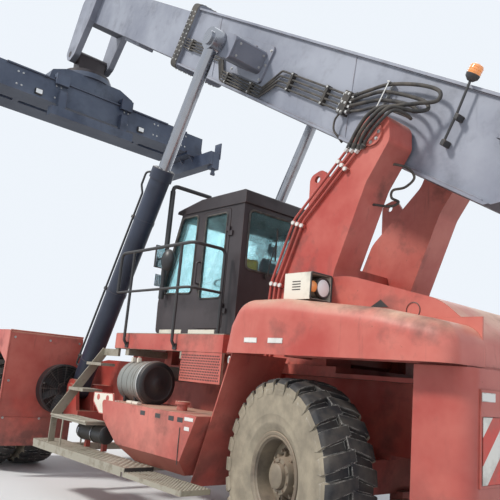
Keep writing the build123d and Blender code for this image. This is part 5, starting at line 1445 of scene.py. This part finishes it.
@dataclass
class CabDressing:
    """Gaskets, seat, console, controls, mirrors and trim of the cab."""

    wall: float = 0.78
    rear: float = 1.75
    floor: float = 2.1
    # corners of the panes: along the machine and up, and for the rear window across and up
    front_pane: tuple[Point, ...] = ((2.66, 2.56), (3.31, 2.58), (3.285, 2.7), (3.0, 3.59), (2.66, 3.59))
    right_pane: tuple[Point, ...] = ((1.85, 2.52), (2.52, 2.52), (2.52, 3.58), (1.85, 3.58))
    door_pane: tuple[Point, ...] = ((2.051, 2.48), (2.479, 2.48), (2.479, 3.545), (2.051, 3.545))
    rear_pane: tuple[Point, ...] = ((-0.69, 2.83), (0.69, 2.83), (0.69, 3.56), (-0.69, 3.56))
    seat_fill: float = 0.85
    wheel_radius: float = 0.19
    mirror_post: tuple[float, float] = (-0.85, 3.23)

    def build(self, layout: Layout) -> None:
        """Add the pieces.

        Args:
            layout: Local frames of the machine.
        """
        self.add_gaskets(layout)
        self.add_seat(layout)
        self.add_console(layout)
        self.add_column(layout)
        self.add_box(layout)
        self.add_outside(layout)
        self.add_mirrors(layout)

    def add_gaskets(self, layout: Layout) -> None:
        """Add rubber gaskets round the panes, and the door's lock."""
        fixed = Piece("cab_window_gaskets", HOSE, layout.machine)
        for side, pane in ((-1, self.front_pane), (1, self.front_pane), (1, self.right_pane)):
            x = side * (self.wall + 0.002)
            fixed.tube(rounded_loop([(x, y, z) for y, z in pane], 0.06), 0.013, 8, True)
        y = self.rear - 0.002
        fixed.tube(rounded_loop([(x, y, z) for x, z in self.rear_pane], 0.08), 0.014, 8, True)
        fixed.place("chassis")
        door = Piece("door_window_gasket", HOSE, layout.machine)
        x = -self.wall - 0.006
        door.tube(rounded_loop([(x, y, z) for y, z in self.door_pane], 0.05), 0.011, 8, True)
        door.place("door")
        lock = Piece("door_lock", BLACK, layout.machine)
        lock.box((x - 0.012, 2.49, 2.56), (x + 0.004, 2.53, 2.66), 0.004)
        lock.rod((x - 0.01, 2.51, 2.6), (x - 0.024, 2.51, 2.6), 0.014, sides=16)
        lock.place("door")

    def add_seat(self, layout: Layout) -> None:
        """Add the suspended seat with padded cushions."""
        f = self.floor
        base = Piece("seat_base", TRIM, layout.machine)
        base.box((-0.17, 2.16, f), (0.17, 2.54, f + 0.05), 0.01)
        for n in range(6):
            grow = 0.012 if n % 2 else 0.0
            base.box((-0.15 - grow, 2.18 - grow, f + 0.05 + 0.035 * n),
                     (0.15 + grow, 2.52 + grow, f + 0.085 + 0.035 * n), 0.012)
        base.box((-0.2, 2.14, f + 0.26), (0.2, 2.58, f + 0.31), 0.012)
        for side in BOTH:
            base.box((side * 0.27, 2.12, f + 0.5), (side * 0.33, 2.45, f + 0.54), 0.015)
            base.box((side * 0.28, 2.12, f + 0.3), (side * 0.31, 2.17, f + 0.5), 0.01)
        base.place("chassis", ["cab_interior"])
        lean = Matrix.Translation((0, 2.13, f + 0.44)) @ Matrix.Rotation(math.radians(9), 4, "X")
        creases = (-0.5, 0.5)
        pads = (
            ("seat_cushion", (-0.25, 2.12, f + 0.3), (0.25, 2.64, f + 0.45), creases, None),
            ("seat_backrest", (-0.24, -0.06, 0.0), (0.24, 0.06, 0.56), creases, lean),
            ("seat_headrest", (-0.14, -0.05, 0.6), (0.14, 0.05, 0.76), (), lean),
        )
        for name, low, high, seams, turn in pads:
            pad = Piece(name, SEAT_CLOTH, layout.machine)
            pad.cushion(low, high, seams, turn)
            pad.place("chassis", smooth=80)
        posts = Piece("headrest_posts", ZINC, layout.machine)
        for x in (-0.05, 0.05):
            posts.rod(lean @ Vector((x, 0, 0.5)), lean @ Vector((x, 0, 0.64)), 0.007, sides=10)
        posts.place("chassis")

    def add_console(self, layout: Layout) -> None:
        """Add the side console with its keys, lever and screen, and the pedals."""
        f = self.floor
        desk = Piece("side_console", TRIM, layout.machine)
        outline = [(2.15, f), (2.78, f), (2.8, f + 0.46), (2.62, f + 0.56), (2.15, f + 0.56)]
        desk.plate(outline, "X", 0.29, 0.52, 0.012)
        for n in range(5):
            x = 0.33 + 0.035 * n
            desk.box((x, 2.3, f + 0.56), (x + 0.025, 2.36, f + 0.572), 0.003)
        desk.rod((0.4, 2.52, f + 0.56), (0.4, 2.54, f + 0.7), 0.011, sides=12)
        desk.spheroid((0.4, 2.542, f + 0.72), (0.024, 0.024, 0.036))
        desk.box((0.3, 2.86, f + 0.7), (0.56, 2.9, f + 0.9), 0.012)
        desk.rod((0.43, 2.88, f + 0.5), (0.43, 2.88, f + 0.72), 0.014)
        desk.rod((0.43, 2.78, f + 0.44), (0.43, 2.88, f + 0.52), 0.014)
        for x in (-0.14, 0.14, 0.26):
            desk.box((x - 0.04, 3.1, f + 0.06), (x + 0.04, 3.12, f + 0.2), 0.006)
            desk.rod((x, 3.12, f + 0.1), (x, 3.2, f), 0.01)
        desk.place("chassis", ["cab_interior"])

    def add_column(self, layout: Layout) -> None:
        """Add the steering column with its boot and wheel."""
        f = self.floor
        column = Piece("steering_column", TRIM, layout.machine)
        column.rod((0, 3.08, f), (0, 2.888, f + 0.748), 0.045, 0.035)
        column.lathe([(0.0, 0.075), (0.015, 0.07), (0.02, 0.06), (0.035, 0.058), (0.04, 0.05), (0.07, 0.047)],
                     (0, 3.08, f), "Z", 24)
        tilt = Matrix.Translation((0, 2.89, f + 0.74)) @ Matrix.Rotation(math.radians(-14), 4, "X")
        column.tube([tilt @ Vector((x, y, 0)) for x, y in circle(self.wheel_radius, 48)], 0.015, 10, True)
        reach = self.wheel_radius - 0.005
        for a in (math.radians(90), math.radians(210), math.radians(330)):
            rim = tilt @ Vector((reach * math.cos(a), reach * math.sin(a), 0))
            column.rod(tilt @ Vector((0, 0, -0.01)), rim, 0.012)
        column.rod(tilt @ Vector((0, 0, -0.03)), tilt @ Vector((0, 0, 0.02)), 0.05, 0.042, 32)
        column.place("chassis", ["cab_interior"])

    def add_box(self, layout: Layout) -> None:
        """Add the yellow box on its stand behind the seat."""
        box = Piece("yellow_box", YELLOW, layout.machine)
        box.box((-0.66, 1.83, 2.8), (-0.42, 1.9, 2.98), 0.012)
        box.box((-0.66, 1.81, 2.1), (-0.5, 1.88, 2.8), 0.01)
        box.place("chassis")

    def add_outside(self, layout: Layout) -> None:
        """Add the roof sheet, the side strip below it and the foot strips."""
        roof = Piece("cab_roof_sheet", GREY, layout.machine)
        sheet = [(1.76, 3.788), (1.76, 3.796), (2.56, 3.796), (2.62, 3.792), (3.09, 3.704), (3.09, 3.696)]
        roof.plate(sheet, "X", -0.74, 0.74)
        roof.plate([(1.8, 3.7), (1.8, 3.775), (2.5, 3.78), (2.42, 3.715)], "X", -0.7835, -0.7805)
        roof.place("chassis")
        strips = Piece("cab_foot_strips", CREAM, layout.machine)
        for low, high in ((2.1, 2.63), (2.78, 3.28)):
            strips.box((-0.786, low, 2.048), (-0.779, high, 2.098), 0.002)
        strips.place("chassis")

    def add_mirrors(self, layout: Layout) -> None:
        """Add mirror faces, the round mirror with its posts, and the rear wiper."""
        faces = Piece("mirror_faces", MIRROR, layout.machine)
        faces.box((-1.02, 3.186, 2.91), (-0.9, 3.191, 3.19), 0.002)
        faces.box((-1.01, 3.186, 2.65), (-0.91, 3.191, 2.81), 0.002)
        faces.place("chassis")
        extra = Piece("round_mirror", BLACK, layout.machine)
        x, y = self.mirror_post
        extra.spheroid((-0.965, 2.985, 2.985), (0.08, 0.11, 0.145), 28)
        extra.rod((x, y, 3.06), (-0.95, 3.02, 3.02), 0.012)
        extra.tube(rounded([(x, y, 2.56), (x, y, 4.08), (-0.2, y, 4.08)], 0.08), 0.028, 12)
        extra.rod((x, y, 2.5), (x, y, 4.0), 0.036)
        extra.rod((-0.35, 1.735, 2.79), (-0.35, 1.722, 2.79), 0.03)
        extra.tube([(-0.35, 1.724, 2.79), (-0.3, 1.72, 3.05), (-0.22, 1.722, 3.3)], 0.008)
        extra.box((-0.24, 1.722, 3.0), (-0.222, 1.736, 3.42), 0.004)
        extra.place("chassis")


# Body, tanks and walkways


@dataclass
class BodyDressing:
    """Reflectors, boards, lamps, hooks and bolts on fenders, weight, mudguards and hood."""

    fender: float = 1.68
    tank: float = 1.75
    weight_rear: float = -1.572
    guard_rear: float = 5.003
    # corners of the lamp box's front, across and up
    lamp_box: tuple[Point, ...] = ((1.208, 2.292), (1.478, 2.292), (1.478, 2.528), (1.208, 2.528))

    def build(self, layout: Layout) -> None:
        """Add the pieces.

        Args:
            layout: Local frames of the machine.
        """
        self.add_reflectors(layout)
        self.add_lamps(layout)
        self.add_trim(layout)

    def add_reflectors(self, layout: Layout) -> None:
        """Add plain reflectors, blank patches and the striped boards."""
        white = Piece("white_reflectors", WHITE, layout.machine)
        for side in BOTH:
            x = side * self.fender
            for low, high in ((0.35, 0.52), (0.03, 0.21)):
                white.box((x, low, 1.885), (x + side * 0.005, high, 1.93), 0.002)
            x = side * self.tank
            for low, high, z in ((1.06, 1.2, 1.128), (1.11, 1.19, 1.04)):
                white.box((x, low, z), (x + side * 0.003, high, z + 0.035), 0.001)
        white.box((-1.355, self.weight_rear - 0.005, 1.56), (-1.17, self.weight_rear, 1.62), 0.002)
        white.place("chassis")
        boards = Piece("hazard_boards", STRIPES, layout.machine)
        back, front = self.weight_rear - 0.005, self.weight_rear + 0.001
        for side in BOTH:
            boards.box((side * 0.78, back, 1.02), (side * 1.34, front, 1.46), 0.003)
        boards.place("chassis")

    def add_lamps(self, layout: Layout) -> None:
        """Add lenses, dark surrounds and vents at the lamp boxes, and small lamps at the rear."""
        dark = Piece("lamp_surrounds", BLACK, layout.machine)
        white = Piece("work_lamp_lenses", WHITE_LENS, layout.machine)
        amber = Piece("amber_lamp_lenses", AMBER_LENS, layout.machine)
        red = Piece("rear_lamp_lenses", RED_LENS, layout.machine)
        surround = [(0.03, 0.079), (0.03, 0.094), (-0.004, 0.096), (-0.012, 0.09), (-0.006, 0.079)]
        work = [(0.004, 0.078), (-0.004, 0.076), (-0.014, 0.05), (-0.018, 0.0)]
        turn = [(0.0, 0.04), (-0.03, 0.052), (-0.075, 0.05), (-0.095, 0.03), (-0.1, 0.0)]
        small = [(0.0, 0.045), (-0.012, 0.044), (-0.024, 0.03), (-0.028, 0.0)]
        for side in BOTH:
            spot = (side * 1.3, -0.046, 2.41)
            dark.lathe(surround, spot, "Y", 40, True)
            white.lathe(work, spot, "Y", 40)
            amber.lathe(turn, (side * 1.42, 0.036, 2.41), "Y", 32)
            rim = [(side * x, -0.062, z) for x, z in self.lamp_box]
            dark.tube(rounded_loop(rim, 0.012, 2), 0.008, 8, True)
            for n in range(4):
                z = 2.375 + 0.024 * n
                dark.box((side * 1.479, 0.06, z), (side * 1.484, 0.16, z + 0.008), 0.001)
            for lens, x in ((red, 0.86), (amber, 1.0)):
                lens.lathe(small, (side * x, self.weight_rear, 1.54), "Y", 28)
        for piece in (dark, white, amber, red):
            piece.place("chassis")

    def add_trim(self, layout: Layout) -> None:
        """Add the hood's fin and opening, both painted black as shade, hooks, panel bolts and mudguard beads.
        """
        # the fin is painted black for the shade it is in
        fin = Piece("hood_fin", PAINTED_SHADE, layout.machine)
        fin.plate([(-0.49, 2.24), (-0.68, 2.24), (-0.6, 2.305)], "X", -1.204, -1.192)
        fin.place("chassis")
        # a black disc paints the shade inside the hood's opening
        dark = Piece("hood_opening", PAINTED_SHADE, layout.machine)
        dark.lathe([(0.0, 0.0), (0.0, 0.06), (-0.006, 0.066), (-0.01, 0.06)], (-1.196, -0.915, 2.21), "X", 28)
        dark.place("chassis")
        hooks = Piece("arch_plate_hooks", ZINC, layout.machine)
        for side in BOTH:
            for x in (side * 1.5, side * 1.57):
                bends = [(x, 0.8, 1.74), (x, 0.84, 1.76), (x, 0.84, 1.7), (x, 0.81, 1.69)]
                hooks.tube(rounded(bends, 0.02), 0.012)
        hooks.place("chassis")
        bolts = Piece("panel_bolts", ZINC, layout.machine)
        for side in BOTH:
            places = [(side * x, self.guard_rear, z) for x in (1.04, 1.5, 2.02) for z in (0.75, 1.25, 1.85)]
            bolts.bolts(places, (0, -1, 0), 0.012)
        bolts.place("chassis")
        beads = Piece("mudguard_beads", RED, layout.machine)
        y, top = self.guard_rear + 0.003, 1.944
        for side in BOTH:
            outer = side * 2.094
            beads.tube([(side * 0.99, y, top), (side * 1.5, y, top), (outer, y, top)], 0.012)
            beads.tube([(outer, y, 0.45), (outer, y, 1.2), (outer, y, top)], 0.012)
        beads.place("chassis")


@dataclass
class EquipmentDressing:
    """Air cleaner, fan guard, tank fittings and the surfaces of the walkways."""

    drum_x: float = -1.375
    drum_z: float = 1.42
    strap_places: tuple[float, ...] = (2.56, 2.68)
    fan: tuple[float, float] = (-1.26, 1.18)
    fan_face: float = 4.863
    fan_rings: int = 9
    reservoir: Point = (-1.625, 0.0, 0.786)
    step_edge: tuple[float, float] = (1.88, 0.925)
    # edges of each chequered area from the machine's middle and along it, its height, and the lugs' pitch
    chequered: tuple[tuple[float, ...], ...] = (
        (1.61, 1.94, 1.87, 4.08, 0.6, 0.042),
        (1.61, 1.87, 2.9, 3.79, 0.93, 0.042),
        (0.74, 1.26, 1.33, 1.7, 2.0, 0.05),
        (0.83, 1.26, 1.72, 3.48, 2.0, 0.05),
    )
    stud_columns: int = 8
    stud_rows: int = 23
    grille_columns: int = 24
    grille_rows: int = 10

    def build(self, layout: Layout) -> None:
        """Add the pieces.

        Args:
            layout: Local frames of the machine.
        """
        self.add_air_cleaner(layout)
        self.add_fan_guard(layout)
        self.add_tank_fittings(layout)
        self.add_treads(layout)
        self.add_mesh(layout)

    def add_air_cleaner(self, layout: Layout) -> None:
        """Draw the air cleaner with its ribbed drum, a lid painted black as shade, bright ring, straps and
        duct.
        """
        x, z = self.drum_x, self.drum_z
        base = (x, 0.0, z)
        drum = Piece("air_cleaner_drum", DRUM, layout.machine)
        drum.lathe([(2.345, 0.0), (2.345, 0.234), (2.375, 0.236), (2.38, 0.242), (2.395, 0.242),
                    (2.4, 0.236), (2.425, 0.236), (2.43, 0.243), (2.445, 0.243), (2.45, 0.237),
                    (2.475, 0.237), (2.48, 0.242), (2.492, 0.242), (2.497, 0.237), (2.72, 0.236),
                    (2.79, 0.228), (2.84, 0.2), (2.87, 0.155), (2.88, 0.1), (2.88, 0.0)], base, "Y", 64)
        for y in self.strap_places:
            drum.lathe([(y, 0.236), (y, 0.24), (y + 0.03, 0.24), (y + 0.03, 0.236)], base, "Y", 64, True)
        drum.rod((x, 2.56, z + 0.12), (-0.7, 2.56, z + 0.12), 0.085, sides=32)
        drum.place("chassis", ["air_cleaner"])
        # the lid is painted black for the shade on its face
        lid = Piece("air_cleaner_lid", PAINTED_SHADE, layout.machine)
        lid.lathe([(2.345, 0.24), (2.312, 0.246), (2.29, 0.24), (2.278, 0.222), (2.273, 0.19), (2.279, 0.18),
                   (2.279, 0.06), (2.272, 0.05), (2.272, 0.0)], base, "Y", 64)
        lid.place("chassis", ["air_cleaner"])
        ring = Piece("air_cleaner_ring", ZINC, layout.machine)
        ring.lathe([(2.34, 0.236), (2.339, 0.249), (2.35, 0.251), (2.361, 0.249), (2.36, 0.236)],
                   base, "Y", 64)
        ring.place("chassis", ["air_cleaner"])
        straps = Piece("air_cleaner_clamps", CREAM, layout.machine)
        for y in self.strap_places:
            straps.box((x - 0.12, y - 0.01, z + 0.212), (x - 0.075, y + 0.04, z + 0.275), 0.008)
            straps.box((-1.7, y - 0.42, 1.19), (-1.64, y - 0.3, 1.22), 0.006)
        straps.place("chassis", ["air_cleaner"])
        feet = Piece("air_cleaner_feet", BLACK, layout.machine)
        saddle = [(-1.55, 1.19), (-1.2, 1.19), (-1.2, 1.3), (-1.25, 1.235), (-1.375, 1.19), (-1.5, 1.235),
                  (-1.55, 1.3)]
        for y in (2.44, 2.66):
            feet.plate(saddle, "Y", y, y + 0.04, 0.003)
        feet.place("chassis", ["air_cleaner"])

    def add_fan_guard(self, layout: Layout) -> None:
        """Add the wire guard in front of the cooler fan."""
        guard = Piece("fan_guard", BLACK, layout.machine)
        y = self.fan_face
        for n in range(self.fan_rings):
            ring = circle(0.06 + 0.034 * n, 48, self.fan)
            guard.tube([(x, y, z) for x, z in ring], 0.0035, 6, True)
        for (x0, z0), (x1, z1) in zip(circle(0.05, 8, self.fan), circle(0.336, 8, self.fan)):
            guard.rod((x0, y, z0), (x1, y, z1), 0.005, sides=8)
        middle = (self.fan[0], 0, self.fan[1])
        guard.lathe([(4.865, 0.322), (4.86, 0.336), (4.865, 0.352), (4.875, 0.352)], middle, "Y", 64)
        guard.place("chassis")

    def add_tank_fittings(self, layout: Layout) -> None:
        """Add blank labels, a hand rod, the bracket's sheet, the reservoir's bands and the step edges."""
        dark = Piece("tank_blank_labels", BLACK, layout.machine)
        for y in (1.937, 1.656, 1.42, 1.27):
            dark.box((-1.7525, y - 0.045, 1.105), (-1.749, y + 0.045, 1.15), 0.001)
        dark.tube([(-1.751, 1.25, 0.72), (-1.756, 1.253, 0.9), (-1.752, 1.256, 1.06)], 0.005, 6)
        dark.place("chassis")
        spots = Piece("bracket_patches", RED, layout.machine)
        for y in (2.72, 2.93):
            spots.lathe([(-1.7395, 0.0), (-1.7395, 0.034), (-1.737, 0.034), (-1.737, 0.0)],
                        (0, y, 1.21), "X", 20)
        spots.place("chassis")
        plate = Piece("bracket_sheet", CREAM, layout.machine)
        outline = [(2.58, 1.16), (2.62, 1.265), (3.03, 1.252), (3.03, 1.16), (2.87, 1.04), (2.74, 1.04)]
        plate.plate(outline, "X", -1.7385, -1.738)
        plate.place("chassis")
        ring = Piece("reservoir_bands", CHROME, layout.machine)
        for y in (3.03, 3.33):
            ring.lathe([(y, 0.096), (y, 0.108), (y + 0.02, 0.108), (y + 0.02, 0.096)],
                       self.reservoir, "Y", 40, True)
        ring.place("chassis")
        drum = Piece("reservoir_skin", BLACK, layout.machine)
        drum.lathe([(2.799, 0.0), (2.799, 0.062), (2.824, 0.0995), (3.396, 0.0995), (3.421, 0.062),
                    (3.421, 0.0)], self.reservoir, "Y", 48)
        drum.place("chassis")
        edge = Piece("step_edges", TREAD, layout.machine)
        x, z = self.step_edge
        for side in BOTH:
            edge.tube([(side * x, y, z) for y in (2.88, 3.3, 3.8)], 0.014)
            edge.tube([(side * across, 2.884, z) for across in (1.6, 1.74, x)], 0.014)
        edge.place("chassis")

    def add_treads(self, layout: Layout) -> None:
        """Add chequer lugs, punched studs and a joint strip on catwalks, steps and decks."""
        lugs = Piece("chequer_lugs", TREAD, layout.machine)
        for side in BOTH:
            for x0, x1, y0, y1, z, pitch in self.chequered:
                columns, rows = int((x1 - x0) / pitch), int((y1 - y0) / pitch)
                for i in range(columns + 1):
                    for j in range(rows + 1):
                        turn = math.radians(45 if (i + j) % 2 else -45)
                        self.add_lozenge(lugs, (side * (x0 + i * pitch), y0 + j * pitch, z), turn)
        lugs.place("chassis")
        studs = Piece("catwalk_studs", TREAD, layout.machine)
        profile = [(0.0, 0.014), (0.006, 0.012), (0.006, 0.007), (-0.001, 0.006)]
        for side in BOTH:
            for i in range(self.stud_columns):
                for j in range(self.stud_rows):
                    spot = (side * (1.625 + i * 0.043), 0.91 + j * 0.042, 0.559)
                    studs.lathe(profile, spot, "Z", 10)
        studs.place("chassis")
        joint = Piece("catwalk_joint", BLACK, layout.machine)
        for side in BOTH:
            joint.box((side * 1.603, 1.836, 0.559), (side * 1.947, 1.8395, 0.599), 0.001)
            joint.bolts([(side * x, 1.815, 0.56) for x in (1.64, 1.78, 1.91)], (0, 0, 1), 0.01)
        joint.place("chassis")

    def add_lozenge(self, piece: Piece, spot: Point, turn: float) -> None:
        """Add one raised lug of a chequer plate.

        Args:
            piece: Piece that gets the lug.
            spot: Middle of the lug on the plate.
            turn: Angle of its long axis from X.
        """
        x, y, z = spot
        c, s = math.cos(turn), math.sin(turn)
        base = [(0.015, 0.0), (0.0, 0.005), (-0.015, 0.0), (0.0, -0.005)]
        taper = 0.6
        low = [piece.mesh.verts.new((x + a * c - b * s, y + a * s + b * c, z - 0.001)) for a, b in base]
        top = [piece.mesh.verts.new((x + taper * (a * c - b * s), y + taper * (a * s + b * c), z + 0.003))
               for a, b in base]
        piece.mesh.faces.new(top)
        for k in range(4):
            m = (k + 1) % 4
            piece.mesh.faces.new((low[k], low[m], top[m], top[k]))

    def add_mesh(self, layout: Layout) -> None:
        """Add the painted side sheets of the decks, and black discs as painted shade in the holes of the
        grilles under them.
        """
        sheets = Piece("deck_side_sheets", RED, layout.machine)
        # black discs paint the shade seen through the grille's holes
        holes = Piece("grille_holes", PAINTED_SHADE, layout.machine)
        low, high = 1.803, 1.992
        for side in BOTH:
            face = side * 1.2855
            sheets.box((face, 1.298, low), (face + side * 0.003, 3.502, high), 0.001)
            sheets.box((side * 0.73, 3.5005, low), (face, 3.5035, high), 0.001)
            sheets.box((side * 0.73, 1.2965, low), (face, 1.2995, high), 0.001)
            sheets.box((side * 1.2805, 1.3, 1.48), (side * 1.283, 2.02, low), 0.001)
            x = side * 1.2835
            for row in range(self.grille_rows):
                for column in range(self.grille_columns):
                    y, z = 1.335 + 0.0285 * column + 0.014 * (row % 2), 1.512 + 0.028 * row
                    holes.rod((x, y, z), (x + side * 0.0006, y, z), 0.0095, sides=8)
        sheets.place("chassis")
        holes.place("chassis")


def main() -> None:
    """Build the whole scene in order."""
    logging.basicConfig(level=logging.INFO, format="%(message)s")
    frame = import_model()
    layout = Layout.from_frame(frame)
    Studio().build(layout)
    dress_nodes(frame)
    Wheels().build(layout)
    for dressing in (BoomDressing(), CylinderDressing(), TowerDressing(), SpreaderDressing(), CabDressing(),
                     BodyDressing(), EquipmentDressing()):
        dressing.build(layout)


if __name__ == "__main__":
    main()
